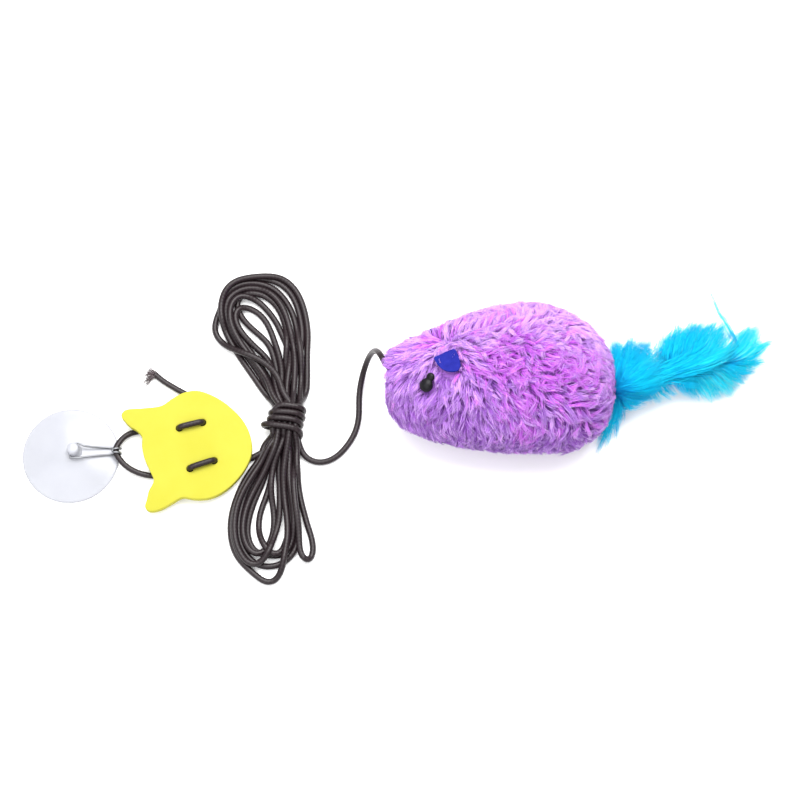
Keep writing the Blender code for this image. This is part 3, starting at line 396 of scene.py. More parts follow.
# Loops past the lower end, each from its left end down and round to its right end
LOWER = [
    [(-52.1, -15.2, 1), (-53.6, -20.6, 0), (-56.2, -26.2, 0), (-59.0, -30.9, 0), (-60.8, -34.7, 0), (-63.2, -39.1, 0), (-65.1, -45.3, 0), (-66.1, -51.2, 0), (-66.2, -56.6, 0), (-65.2, -61.5, 0), (-63.3, -65.6, 0), (-60.6, -68.8, 0), (-57.1, -70.8, 0), (-53.2, -71.3, 0), (-49.8, -70.6, 0), (-46.5, -68.8, 0), (-44.0, -66.1, 0), (-42.4, -62.5, 0), (-41.8, -57.9, 0), (-42.0, -52.4, 0), (-42.8, -46.5, 0), (-43.7, -40.6, 0), (-44.6, -34.7, 0), (-45.0, -28.3, 0), (-45.3, -21.9, 0), (-45.3, -16.5, 1)],
    [(-44.2, -16.1, 1), (-44.5, -21.9, 0), (-44.7, -28.3, 0), (-44.4, -35.2, 1), (-43.7, -41.6, 1), (-42.7, -48.3, 2), (-41.8, -54.2, 2), (-41.3, -59.2, 2), (-41.2, -63.0, 2), (-40.7, -66.4, 2), (-39.3, -69.0, 2), (-37.3, -69.2, 1), (-35.9, -67.1, 0), (-35.4, -64.0, 0), (-35.8, -60.6, 0), (-36.8, -57.1, 0), (-38.0, -53.7, 0), (-39.6, -48.2, 0), (-41.3, -43.2, 0), (-42.5, -37.7, 0), (-43.1, -31.8, 1), (-43.0, -25.9, 1), (-42.5, -20.3, 1), (-41.9, -16.1, 2)],
    [(-53.1, -15.2, 1), (-55.0, -20.2, 0), (-57.8, -25.7, 0), (-60.7, -30.0, 0), (-63.3, -33.8, 0), (-66.1, -39.6, 0), (-68.2, -45.5, 0), (-69.3, -51.4, 0), (-69.4, -57.1, 0), (-68.5, -62.3, 0), (-66.4, -67.1, 0), (-63.2, -70.8, 0), (-59.9, -73.8, 0), (-56.8, -76.4, 0), (-54.2, -77.9, 0), (-51.9, -77.8, 0), (-50.0, -76.0, 0), (-48.3, -73.4, 1), (-47.4, -70.0, 2), (-46.9, -65.5, 2), (-46.1, -60.7, 2), (-45.9, -55.7, 2), (-46.4, -49.6, 2), (-47.2, -43.7, 2), (-47.5, -37.8, 2), (-47.3, -31.5, 2), (-46.8, -25.1, 2), (-45.9, -17.9, 3)],
    [(-50.9, -15.2, 1), (-51.8, -21.2, 1), (-53.3, -26.7, 1), (-55.3, -32.3, 1), (-57.4, -37.8, 1), (-59.6, -42.1, 0), (-61.2, -46.8, 0), (-62.3, -51.4, 0), (-62.8, -55.8, 0), (-62.1, -60.2, 0), (-60.4, -63.8, 0), (-57.8, -65.8, 0), (-55.0, -65.8, 0), (-52.3, -66.3, 0), (-49.6, -66.6, 0), (-47.0, -65.2, 0), (-45.0, -62.1, 0), (-43.8, -57.9, 0), (-43.4, -53.4, 1), (-43.6, -47.9, 1), (-44.4, -41.6, 1), (-45.1, -35.2, 1), (-45.5, -28.9, 1), (-45.3, -23.0, 2), (-45.2, -17.0, 2)],
    [(-49.6, -15.2, 1), (-50.4, -21.2, 1), (-51.6, -26.2, 0), (-52.6, -31.7, 0), (-53.4, -36.8, 0), (-54.8, -41.5, 0), (-56.5, -45.9, 0), (-57.7, -50.5, 0), (-57.9, -55.2, 0), (-57.0, -59.6, 1), (-55.3, -63.0, 1), (-53.0, -65.8, 1), (-50.4, -67.1, 1), (-48.0, -65.8, 1), (-46.5, -62.6, 1), (-45.2, -58.2, 1), (-44.5, -53.1, 1), (-44.7, -47.1, 1), (-45.6, -41.1, 1), (-46.9, -35.2, 1), (-47.7, -28.9, 1), (-47.9, -22.5, 1), (-47.9, -17.0, 2)],
    [(-50.3, -15.7, 2), (-51.7, -21.7, 2), (-53.7, -27.2, 2), (-56.2, -33.2, 2), (-59.1, -38.6, 1), (-62.1, -45.2, 1), (-63.7, -50.8, 1), (-64.2, -56.3, 1), (-63.4, -60.7, 1), (-61.7, -64.2, 1), (-59.3, -66.4, 1), (-56.5, -66.4, 1), (-54.3, -64.4, 1), (-52.8, -60.4, 0), (-51.5, -55.8, 0), (-51.4, -51.2, 0), (-52.0, -46.5, 0), (-52.9, -41.9, 0), (-53.2, -36.8, 0), (-52.7, -30.9, 0), (-51.4, -25.0, 1), (-49.7, -19.1, 2)],
    [(-52.2, -15.7, 2), (-53.7, -20.8, 1), (-56.3, -26.3, 1), (-59.1, -31.0, 1), (-61.7, -35.2, 1), (-64.3, -39.9, 1), (-66.4, -45.3, 1), (-67.6, -50.8, 1), (-67.7, -56.3, 1), (-67.2, -61.1, 1), (-65.5, -65.7, 1), (-62.8, -69.8, 2), (-59.9, -71.6, 2), (-57.1, -70.7, 2), (-54.9, -68.0, 2), (-53.2, -64.4, 2), (-51.9, -60.1, 1), (-50.5, -55.5, 1), (-49.7, -50.0, 1), (-49.5, -43.7, 1), (-49.7, -37.3, 1), (-50.1, -31.0, 1), (-50.3, -25.3, 0), (-51.4, -20.6, 0), (-52.8, -16.3, 0)],
]  # fmt: skip
LAYER_Z = (1.35, 3.5, 5.4, 7.2)
TILT = 0.287  # a strand that lies higher is laid that much nearer, so that the pile keeps its outline from the front

WAIST_TOP, WAIST_END = -4.2, -16.4  # the wraps cover the hank between these, along Y
WAIST_X = -46.9

# where each turn of the wrap lies along the hank: turn number from the left side, over the top first, and y
WRAPS = [
    (0.0, -5.0), (0.25, -5.3), (0.5, -6.5), (0.75, -6.9), (1.0, -7.3), (1.25, -8.1), (1.5, -9.4), (1.75, -9.6), (2.0, -9.8),
    (2.25, -10.7), (2.5, -12.6), (2.75, -12.4), (3.0, -11.9), (3.25, -13.7), (3.5, -16.3), (3.72, -18.6), (4.0, -20.0),
]  # fmt: skip


def slots():
    """Where the strands pass the waist, in five columns of three, from left to right and from low to high."""
    out = []
    for column in range(5):
        x = WAIST_X + (column - 2) * 2.28
        for row in range(3):
            out.append((x + (0.45 if row == 1 else -0.2), 3.75 + 1.9 * row))
    return out


def wind():
    """The whole cord from the nose through the hank to its last wrap, in layout mm, with a mask of the points that stay."""
    strands = []  # (mean x, mean layer, kind, number)
    for k in range(7):
        before = (-41.5, 0, 1) if k == 0 else LOWER[k - 1][-1]
        first, last, after = UPPER[k][0], UPPER[k][-1], LOWER[k][0]
        strands.append(((before[0] + first[0]) / 2, before[2] + first[2], "up", k))
        strands.append(((last[0] + after[0]) / 2, last[2] + after[2], "down", k))
    strands.append((-90, 99, "last", 6))  # at the left, highest
    strands.sort()
    free = slots()
    places = {}
    for column in range(5):
        three = sorted(strands[3 * column : 3 * column + 3], key=lambda s: s[1])
        for (_, _, kind, k), slot in zip(three, free[3 * column : 3 * column + 3]):
            places[kind, k] = slot
    route = [tuple(p) for p in LEAD]
    keep = [1.0] * len(route)

    def through(slot, upwards):
        x, z = slot
        ys = [WAIST_END + 1.0, (WAIST_END + WAIST_TOP) / 2, WAIST_TOP - 1.0]
        for y in ys if upwards else reversed(ys):
            route.append((x + 0.11 * (y + 8), y, z))
            keep.append(1.0)

    for k in range(7):
        through(places["up", k], True)
        for x, y, layer in UPPER[k][1:-1]:
            route.append((x, y, LAYER_Z[layer]))
            keep.append(0.0)
        through(places["down", k], False)
        for x, y, layer in LOWER[k][1:-1]:
            route.append((x, y, LAYER_Z[layer]))
            keep.append(1.0 if k == 2 and y < -61 else 0.0)  # the narrow loop at the right stands on its edge
    # the last strand comes up through the waist, turns over its edge and is wound round it
    x, z = places["last", 6]
    wide, high, mid_z = 7.0, 4.32, 5.65
    route += [(x - 0.8, WAIST_END + 1.0, z), (x - 0.7, -12.0, z), (x - 0.6, -8.6, z + 0.05), (x - 0.5, -6.6, z + 0.5)]
    route += [(x + 0.2, -5.2, z + 1.25), (x + 1.6, -4.5, z + 1.95), (x + 3.4, -4.5, z + 2.35)]
    keep += [1.0] * 7
    for i in range(4, int(3.72 * 16) + 1):
        q = i / 16
        a = math.pi - 2 * math.pi * q
        c, s = math.cos(a), math.sin(a)
        y = np.interp(q + np.array([-0.09, 0, 0.09]), [n[0] for n in WRAPS], [n[1] for n in WRAPS]) @ [0.25, 0.5, 0.25]
        lean = np.interp(q, [0.0, 1.5, 2.5, 3.5], [0.5, 0.0, -0.8, -0.9])
        route.append(
            (
                WAIST_X + lean + wide * math.copysign(abs(c) ** 0.62, c) - 2.1 * math.exp(-(((q - 3.0) / 0.14) ** 2)),
                float(y) + (0.35 * s if q < 2.9 else 0.0),
                mid_z + high * math.copysign(abs(s) ** 0.62, s),
            )
        )
        keep.append(1.0)
    return np.array(route), np.array(keep)


RUN_IN = [(-51.2, -18.2, 1.3), (-54.2, -21.0, 1.3), (-58.2, -23.6, 1.3), (-63.4, -26.3, 1.3), (-69.4, -27.6, 1.3), (-74.6, -27.8, 1.3)]


def settle(line, held, others, rounds=320):
    """Lets the wound cord find its layers: strands push each other aside, nothing sinks into the table."""
    d = 2 * CORD_R
    x0 = line.copy()
    n = len(x0)
    free = (1 - held)[:, None]
    shift = np.zeros_like(x0)
    full = np.vstack([x0, others])
    fixed = np.concatenate([held, np.ones(len(others))])
    for k in range(rounds):
        x = x0 + shift * free
        x[:, 1] -= TILT * (shift * free)[:, 2]
        x[:, 2] = np.maximum(x[:, 2], CORD_R + 0.03)
        full[:n] = x
        if k % 12 == 0:
            sq = (full**2).sum(1)
            near = sq[:, None] + sq[None, :] - 2 * full @ full.T < (d + 1.6) ** 2
            i, j = np.nonzero(np.triu(near, 5))
        gap = full[i] - full[j]
        level = np.abs(gap[:, 2]) < 0.08
        gap[level, 2] -= 0.08  # the strand laid later goes on top
        dist = np.maximum(np.linalg.norm(gap, axis=1), 1e-6)
        deep = np.clip(d - dist, 0, None)
        push = gap / dist[:, None] * deep[:, None] * np.array([0.20, 0.20, 0.75])
        wi, wj = 1 - fixed[i], 1 - fixed[j]
        both = np.maximum(wi + wj, 1e-9)
        move = np.zeros_like(full)
        times = np.zeros(len(full))
        np.add.at(move, i, push * (wi / both * (wi > 0))[:, None])
        np.add.at(move, j, -push * (wj / both * (wj > 0))[:, None])
        np.add.at(times, i, deep > 0)
        np.add.at(times, j, deep > 0)
        shift = shift + 0.9 * (move / np.sqrt(np.maximum(times, 1))[:, None])[:n]
        smooth = shift.copy()
        smooth[1:-1] = (shift[:-2] + shift[2:]) / 2
        share = 0.42 if k < rounds - 40 else 0.2
        shift = shift + share * (smooth - shift)
        shift[:, :2] *= 0.985
        shift[:, 2] -= 0.02 * (k < rounds - 30)
        shift[:, 2] = np.maximum(shift[:, 2], CORD_R + 0.03 - x0[:, 2])
    x = x0 + shift * free
    x[:, 1] -= TILT * (shift * free)[:, 2]
    # the cord is springy: it has no kinks
    for k in range(6):
        x[1:-1] = x[1:-1] * 0.5 + (x[:-2] + x[2:]) * 0.25
    x[:, 2] = np.maximum(x[:, 2], CORD_R + 0.03)
    return x


route, keep = wind()
# spacing the route out carries the mask of pinned points along
dense = curve_through(route, 1.3)
owner = np.argmin(((dense[:, None, :] - route[None, :, :]) ** 2).sum(2), axis=1)
held = keep[owner]
run_in = curve_through(RUN_IN, 1.3)
wound = settle(dense, held, run_in)
whole = curve_through(wound[::2], 0.5)
whole_mm = whole
long_line = grid(whole)
long_cord = swept("elastic_cord", long_line, BRAID_R * MM, CORD, sides=12, relief=braid)
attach(long_cord, "root")
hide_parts("cord_lead", "cord_hank", "cord_waist_wrap", "cord_knot")

# The cord from the hank to the slider, up through a hole, over, down, out to the hook and back through the other pair
LOW, TOP = 1.35, 3.2 + 3.5 + 0.35 + CORD_R
HOLES = [(-91.0, -13.9), (-81.5, -11.5), (-86.2, -31.1), (-76.4, -27.8)]
LOOP_AT = (-117.2, -22.9, 3.75)


def rise(hole, before, after, up=True):
    """The bend from under the slider up through a hole and over its top, or back down."""
    hx, hy = hole
    lb, la = math.dist(before, hole), math.dist(after, hole)
    ub = ((before[0] - hx) / lb, (before[1] - hy) / lb)
    ua = ((after[0] - hx) / la, (after[1] - hy) / la)
    z0, z1 = (LOW, TOP) if up else (TOP, LOW)
    s = 1 if up else -1
    r = 1.75
    out = []
    for k in range(5):
        a = math.pi / 2 * k / 4
        w = r * (1 - math.sin(a))
        out.append((hx + ub[0] * w, hy + ub[1] * w, z0 + s * r * (1 - math.cos(a))))
    for k in range(5):
        a = math.pi / 2 * k / 4
        w = r * (1 - math.cos(a))
        out.append((hx + ua[0] * w, hy + ua[1] * w, z1 - s * r * (1 - math.sin(a))))
    return out


h1, h2, h3, h4 = HOLES
in_line = grid(curve_through(np.vstack([whole_mm[-8:-1:3], np.array(RUN_IN)]), 0.5))
in_cord = swept("elastic_cord_to_slider", in_line, BRAID_R * MM, CORD, sides=12, relief=braid)
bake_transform(in_cord)

path = rise(h4, (-70, -27.8), h3)
path += rise(h3, h4, (-95, -31.6), up=False)
path += [
    (-90.5, -31.6, LOW), (-94.9, -31.9, LOW), (-102.0, -32.9, 1.4), (-108.4, -31.6, 2.2), (-113.9, -28.2, 3.1), LOOP_AT,
    (-115.3, -18.2, 3.2), (-112.2, -15.3, 2.1), (-108.2, -14.0, 1.45), (-103.0, -13.5, LOW), (-98.0, -13.4, LOW),
]  # fmt: skip
path += rise(h1, (-98.0, -13.4), h2)
path += rise(h2, h1, (-77.9, -10.2), up=False)
path += [
    (-78.1, -9.0, LOW), (-78.6, -5.6, LOW), (-82.0, -2.2, LOW), (-88.2, 1.6, LOW), (-94.2, 5.0, LOW),
    (-99.2, 8.2, 1.45), (-102.4, 10.9, 1.7),
]  # fmt: skip
slider_line = grid(curve_through(np.array(path), 0.45))
slider_cord = swept("elastic_cord_through_slider", slider_line, CORD_R * MM, CORD, sides=12, relief=braid)
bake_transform(slider_cord)
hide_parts("cord_slider_run")


# ---------------------------------------------------------------- strands: thin tapered fibres, many in one mesh
def strands(name, lines, radii, shade, mat):
    """One mesh of closed three-sided fibres. lines is (count, points, 3) in metres, radii is (count, points), shade (count,)."""
    count, k, _ = lines.shape
    t = np.gradient(lines, axis=1)
    t /= np.maximum(np.linalg.norm(t, axis=2), 1e-12)[..., None]
    side = np.cross(t[:, 0], np.roll(t[:, 0], 1, axis=1) + np.array([0.31, -0.17, 0.53]))
    side = np.repeat(side[:, None, :], k, axis=1)
    side -= t * (side * t).sum(2)[..., None]
    side /= np.maximum(np.linalg.norm(side, axis=2), 1e-12)[..., None]
    other = np.cross(t, side)
    rings = k - 1
    phi = np.arange(3) * 2 * math.pi / 3
    body = lines[:, :rings, None, :] + radii[:, :rings, None, None] * (
        side[:, :rings, None, :] * np.cos(phi)[None, None, :, None]
        + other[:, :rings, None, :] * np.sin(phi)[None, None, :, None]
    )
    per = rings * 3 + 1
    points = np.concatenate([body.reshape(count, rings * 3, 3), lines[:, -1:, :]], axis=1).reshape(-1, 3)
    quads, quad_u, quad_v = [], [], []
    for r in range(rings - 1):
        for q in range(3):
            q2 = (q + 1) % 3
            quads.append([r * 3 + q, r * 3 + q2, (r + 1) * 3 + q2, (r + 1) * 3 + q])
            quad_u.append([r, r, r + 1, r + 1])
            quad_v.append([q, q + 1, q + 1, q])
    tris, tri_u, tri_v = [[2, 1, 0]], [[0.0, 0.3, 0.0]], [[0, 1, 3]]
    for q in range(3):
        tris.append([(rings - 1) * 3 + q, (rings - 1) * 3 + (q + 1) % 3, rings * 3])
        tri_u.append([rings - 1, rings - 1, rings])
        tri_v.append([q, q + 1, q + 0.5])
    base = (np.arange(count) * per)[:, None, None]
    quads = (np.array(quads)[None] + base).reshape(-1, 4)
    tris = (np.array(tris)[None] + base).reshape(-1, 3)
    corners = np.concatenate([quads.ravel(), tris.ravel()]).astype(np.int32)
    starts = np.concatenate(
        [np.arange(len(quads)) * 4, len(quads) * 4 + np.arange(len(tris)) * 3]
    ).astype(np.int32)
    u = np.concatenate(
        [np.tile(np.array(quad_u).ravel(), count), np.tile(np.array(tri_u).ravel(), count)]
    ) / rings
    # each strand's three sides lie next to each other on the map, so that no face is a line there
    across = np.concatenate([np.tile(np.array(quad_v).ravel(), count), np.tile(np.array(tri_v).ravel(), count)]) / 3
    v = np.concatenate([np.repeat(shade, (rings - 1) * 3 * 4), np.repeat(shade, 4 * 3)])
    u, v = 0.02 + 0.96 * u, 0.015 + 0.96 * v + 0.010 * across
    mesh = bpy.data.meshes.new(name)
    mesh.vertices.add(len(points))
    mesh.vertices.foreach_set("co", points.astype(np.float32).ravel())
    mesh.loops.add(len(corners))
    mesh.loops.foreach_set("vertex_index", corners)
    mesh.polygons.add(len(starts))
    mesh.polygons.foreach_set("loop_start", starts)
    mesh.update(calc_edges=True)
    layer = mesh.uv_layers.new(name="OFBake")
    layer.data.foreach_set("uv", np.stack([u, v], 1).astype(np.float32).ravel())
    mesh.polygons.foreach_set("use_smooth", np.ones(len(starts), bool))
    mesh.materials.append(mat)
    mesh.update()
    thing = bpy.data.objects.new(name, mesh)
    scene.collection.objects.link(thing)
    return thing


# The cut end of the cord has come apart into its yarns
rng = np.random.default_rng(11)
count, k = 90, 7
tip = np.array([-102.4, 10.9, 1.9])
root_dir = np.array([-0.80, 0.60, 0.05])
fan = rng.uniform(-0.15, 1.0, count)  # from up and left round to straight down
angle = np.radians(140 + 98 * np.clip(fan, 0, 1) ** 0.75 + rng.normal(0, 6, count))
reach = rng.uniform(2.2, 3.6, count) + rng.uniform(3.4, 5.0, count) * np.clip(fan, 0, 1) ** 1.6
out = np.stack([np.cos(angle), np.sin(angle), rng.uniform(-0.12, 0.16, count)], 1)
t = np.linspace(0, 1, k)[None, :, None]
spread = np.stack([rng.normal(0, 0.55, count), rng.normal(0, 0.55, count), rng.normal(0, 0.45, count)], 1)
start = tip + spread * 0.8 - root_dir * 1.2
lines = start[:, None, :] + root_dir * 1.3 * (1 - (1 - t) ** 2) + out[:, None, :] * reach[:, None, None] * t**1.5
wave = np.sin(t * 7 + rng.uniform(0, 6.3, (count, 1, 1))) * 0.22 * t
lines = lines + wave * rng.normal(0, 1, (count, 1, 3))
lines[..., 2] = np.maximum(lines[..., 2], 0.25)
flat = lines.reshape(-1, 3)
radii = 0.14 * MM * np.linspace(1, 0.55, k)[None, :] * np.ones((count, 1))
frayed = strands("frayed_yarns", grid(flat).reshape(count, k, 3), radii, rng.random(count), FRAY)
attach(frayed, "slider")
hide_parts("cord_frayed_tip")


# ---------------------------------------------------------------- slider: die-cut foam
SLIDER = [
    (-115.2, -8.6), (-113.8, -6.3), (-106.0, -5.4), (-98.6, -4.3), (-94.2, -1.2), (-89.6, 1.3),
    (-84.5, 2.2), (-79.5, 0.9), (-73.4, -2.4), (-68.2, -6.8), (-64.6, -11.0), (-62.2, -15.6),
    (-61.0, -20.6), (-61.2, -25.4), (-63.2, -30.6), (-66.6, -35.6), (-71.0, -40.0), (-75.2, -42.6),
    (-79.6, -43.9), (-84.6, -43.9), (-89.0, -43.3), (-93.6, -45.9), (-98.2, -48.4), (-102.4, -49.0),
    (-104.2, -47.4), (-103.6, -44.2), (-102.9, -40.6), (-101.0, -36.2), (-102.8, -31.8), (-105.0, -27.0),
    (-106.2, -22.0), (-106.4, -17.6), (-108.6, -15.0), (-111.2, -13.4), (-113.6, -11.0),
]  # fmt: skip
HOLE_R = 1.5
SLIDER_LOW, SLIDER_HIGH = 3.2, 6.7


def inside(points, ring):
    """Which points lie inside a closed ring."""
    x, y = points[:, 0][:, None], points[:, 1][:, None]
    x1, y1 = ring[:, 0][None], ring[:, 1][None]
    x2, y2 = np.roll(ring, -1, 0)[:, 0][None], np.roll(ring, -1, 0)[:, 1][None]
    cross = ((y1 > y) != (y2 > y)) & (x < (x2 - x1) * (y - y1) / (y2 - y1 + 1e-12) + x1)
    return cross.sum(1) % 2 == 1


def slider_mesh():
    from mathutils.geometry import delaunay_2d_cdt

    around = np.array(SLIDER)
    wrapped = np.vstack([around[-3:], around, around[:3]])
    full = curve_through(np.column_stack([wrapped, np.zeros(len(wrapped))]), 0.2)[:, :2]
    a = np.argmin(np.linalg.norm(full[: len(full) // 3] - around[0], axis=1))
    b = len(full) - 1 - np.argmin(np.linalg.norm(full[::-1][: len(full) // 3] - around[0], axis=1))
    edge = evenly(np.column_stack([full[a : b + 1], np.zeros(b + 1 - a)]), 0.7)[:-1, :2]
    tangent = np.roll(edge, -1, 0) - np.roll(edge, 1, 0)
    tangent /= np.linalg.norm(tangent, axis=1)[:, None]
    turn = np.sign(np.sum(edge[:, 0] * np.roll(edge[:, 1], -1) - np.roll(edge[:, 0], -1) * edge[:, 1]))
    inward = np.column_stack([-tangent[:, 1], tangent[:, 0]]) * turn
    soft = 0.32
    steps = [(soft, 0.0), (soft * 0.45, soft * 0.16), (soft * 0.12, soft * 0.5), (0.0, soft)]
    holes = []
    for hx, hy in HOLES:
        phi = -2 * math.pi * np.arange(24) / 24
        holes.append((hx, hy, phi))

    flat_edge = edge + inward * soft
    hole_top = [
        np.column_stack([hx + (HOLE_R + soft * 0.8) * np.cos(phi), hy + (HOLE_R + soft * 0.8) * np.sin(phi)])
        for hx, hy, phi in holes
    ]
    gx, gy = np.meshgrid(np.arange(-116, -60, 1.25), np.arange(-50, 3, 1.25))
    gx = gx + 0.6 * (np.round(gy / 1.25) % 2)[:, :]
    cloud = np.column_stack([gx.ravel(), gy.ravel()])
    deep = edge + inward * 0.9
    ok = inside(cloud, deep)
    for hx, hy, phi in holes:
        ok &= np.hypot(cloud[:, 0] - hx, cloud[:, 1] - hy) > HOLE_R + 0.8
    cloud = cloud[ok]
    rings = [flat_edge] + hole_top
    verts = np.vstack(rings + [cloud])
    edges, at_index = [], 0
    for ring in rings:
        m = len(ring)
        edges += [(at_index + q, at_index + (q + 1) % m) for q in range(m)]
        at_index += m
    v2, _, tri, sources, _, _ = delaunay_2d_cdt([Vector(p) for p in verts.tolist()], edges, [], 0, 1e-6)
    v2 = np.array([tuple(p) for p in v2])
    tri = np.array([t for t in tri if len(t) == 3])
    middle = v2[tri].mean(1)
    good = inside(middle, flat_edge)
    for ring in hole_top:
        good &= ~inside(middle, ring)
    tri = tri[good]
    p, q, r = v2[tri[:, 0]], v2[tri[:, 1]], v2[tri[:, 2]]
    area2 = (q[:, 0] - p[:, 0]) * (r[:, 1] - p[:, 1]) - (r[:, 0] - p[:, 0]) * (q[:, 1] - p[:, 1])
    tri[area2 < 0] = tri[area2 < 0][:, ::-1]

    def lift(xy):
        """The foam gives a little under each stitch and is not quite flat."""
        z = 0.10 * np.sin(xy[:, 0] * 0.09 + 1.0) * np.sin(xy[:, 1] * 0.11)
        for (ax, ay), (bx, by) in (((-91.0, -13.9), (-81.5, -11.5)), ((-86.2, -31.1), (-76.4, -27.8))):
            d = np.array([bx - ax, by - ay])
            s = np.clip(((xy - [ax, ay]) @ d) / (d @ d), 0, 1)
            near = np.linalg.norm(xy - ([ax, ay] + s[:, None] * d), axis=1)
            z = z - 0.22 * np.exp(-((near / 1.7) ** 2)) - 0.10 * np.exp(-((near / 4.0) ** 2))
        return z

    n2 = len(v2)
    top = np.column_stack([v2, SLIDER_HIGH + lift(v2)])
    bottom = np.column_stack([v2, SLIDER_LOW + 0.25 * lift(v2) + 0.05])
    points = [top, bottom]
    faces = [tuple(t) for t in tri.tolist()] + [(n2 + c, n2 + b_, n2 + a_) for a_, b_, c in tri.tolist()]
    total = 2 * n2
    placed = {given: index for index, given_here in enumerate(sources) for given in given_here}

    def side(first, ring, outline_at, outward):
        """Rows of faces from the top to the underside along one edge, whose points start at number first."""
        nonlocal total
        m = len(ring)
        rows = [np.array([placed[first + q] for q in range(m)])]
        lifted = SLIDER_HIGH + lift(ring)
        profile = [s for s in steps[1:]] + [(0.0, 1.75)] + [(s[0], 3.5 - s[1]) for s in reversed(steps[1:])]
        for inset, down in profile:
            xy = outline_at(inset)
            z = lifted - down * (lifted - (SLIDER_LOW + 0.25 * lift(ring) + 0.05)) / 3.5
            points.append(np.column_stack([xy, z]))
            rows.append(np.arange(total, total + m))
            total += m
        rows.append(rows[0] + n2)
        for upper, lower in zip(rows, rows[1:]):
            for q in range(m):
                q2 = (q + 1) % m
                face = (upper[q], lower[q], lower[q2], upper[q2])
                faces.append(face if outward else face[::-1])

    side(0, flat_edge, lambda inset: edge + inward * inset, turn > 0)
    for number, ((hx, hy, phi), ring) in enumerate(zip(holes, hole_top)):
        side(
            len(flat_edge) + 24 * number,
            ring,
            lambda inset, hx=hx, hy=hy, phi=phi: np.column_stack(
                [hx + (HOLE_R + inset * 0.8) * np.cos(phi), hy + (HOLE_R + inset * 0.8) * np.sin(phi)]
            ),
            False,
        )
    return grid(np.vstack(points)), [tuple(int(w) for w in f) for f in faces]


import bmesh

pts, fcs = slider_mesh()
slider = mesh_object("foam_slider", pts, fcs, FOAM)
bm = bmesh.new()
bm.from_mesh(slider.data)
bmesh.ops.recalc_face_normals(bm, faces=bm.faces)
bm.to_mesh(slider.data)
bm.free()
slider.data.set_sharp_from_angle(angle=math.radians(60))
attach(slider, "slider")
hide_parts("cord_slider")


# ---------------------------------------------------------------- suction cup
CUP_AT = (-136.1, -24.2)
BOSS = (-134.3, -23.4, 6.9)
HOLE_TURN = math.radians(25)


def turned(name, centre, profile, mat, steps=96):
    """A closed turned piece from a profile of (radius, height) that starts and ends on the axis."""
    prof = np.array(profile, float)
    phi = 2 * math.pi * np.arange(steps) / steps
    ring = prof[1:-1]
    pts = np.stack(
        [
            centre[0] + ring[:, 0][:, None] * np.cos(phi)[None],
            centre[1] + ring[:, 0][:, None] * np.sin(phi)[None],
            centre[2] + ring[:, 1][:, None] * np.ones(steps)[None],
        ],
        -1,
    ).reshape(-1, 3)
    low, high = len(pts), len(pts) + 1
    pts = np.vstack([pts, [centre[0], centre[1], centre[2] + prof[0, 1]], [centre[0], centre[1], centre[2] + prof[-1, 1]]])
    faces = []
    for i in range(len(ring) - 1):
        for q in range(steps):
            q2 = (q + 1) % steps
            faces.append((i * steps + q, (i + 1) * steps + q, (i + 1) * steps + q2, i * steps + q2))
    for q in range(steps):
        q2 = (q + 1) % steps
        faces.append((low, q, q2))
        faces.append((high, (len(ring) - 1) * steps + q2, (len(ring) - 1) * steps + q))
    return mesh_object(name, grid(pts), faces, mat)


def joined(base, cutter, operation):
    """base after one exact Boolean with cutter, which is removed."""
    mod = base.modifiers.new("cut", "BOOLEAN")
    mod.operation = operation
    mod.solver = "EXACT"
    mod.object = cutter
    bpy.context.view_layer.update()
    mesh = bpy.data.meshes.new_from_object(base.evaluated_get(bpy.context.evaluated_depsgraph_get()))
    base.modifiers.clear()
    base.data = mesh
    bpy.data.objects.remove(cutter, do_unlink=True)


cup = turned(
    "clear_suction_cup",
    (CUP_AT[0], CUP_AT[1], 0.0),
    [
        (0, 5.25), (2.2, 5.2), (3.9, 5.0), (5.4, 4.62), (7.2, 4.12), (9.4, 3.62), (12.0, 3.02), (14.6, 2.36), (17.0, 1.66),
        (18.5, 1.22), (19.2, 1.08), (19.75, 0.92), (20.0, 0.6), (19.95, 0.25), (19.75, 0.04), (19.4, 0.0), (18.9, 0.04),
        (17.6, 0.40), (15.0, 1.05), (12.0, 1.66), (9.0, 2.16), (6.0, 2.52), (3.0, 2.75), (0, 2.8),
    ],  # fmt: skip
    PVC,
)
boss = turned(
    "boss",
    (BOSS[0], BOSS[1], 0.0),
    [(0, 10.4), (1.7, 10.35), (2.15, 10.15), (2.4, 9.7), (2.45, 8.6), (2.55, 6.5), (2.75, 5.4), (3.3, 4.9), (3.5, 4.4), (3.4, 3.9), (0, 3.7)],
    PVC,
    40,
)
joined(cup, boss, "UNION")
hole = swept(
    "cross_hole",
    grid(
        [
            (BOSS[0] - 5 * math.sin(HOLE_TURN), BOSS[1] - 5 * math.cos(HOLE_TURN), BOSS[2]),
            BOSS,
            (BOSS[0] + 5 * math.sin(HOLE_TURN), BOSS[1] + 5 * math.cos(HOLE_TURN), BOSS[2]),
        ]
    ),
    0.55 * MM,
    PVC,
    sides=16,
)
joined(cup, hole, "DIFFERENCE")
cup.data.set_sharp_from_angle(angle=math.radians(45))
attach(cup, "cup")
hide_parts("suction_cup")

# ---------------------------------------------------------------- wire hook
ax, ay = math.sin(HOLE_TURN), math.cos(HOLE_TURN)
J_R = CORD_R + 0.45 + 0.4


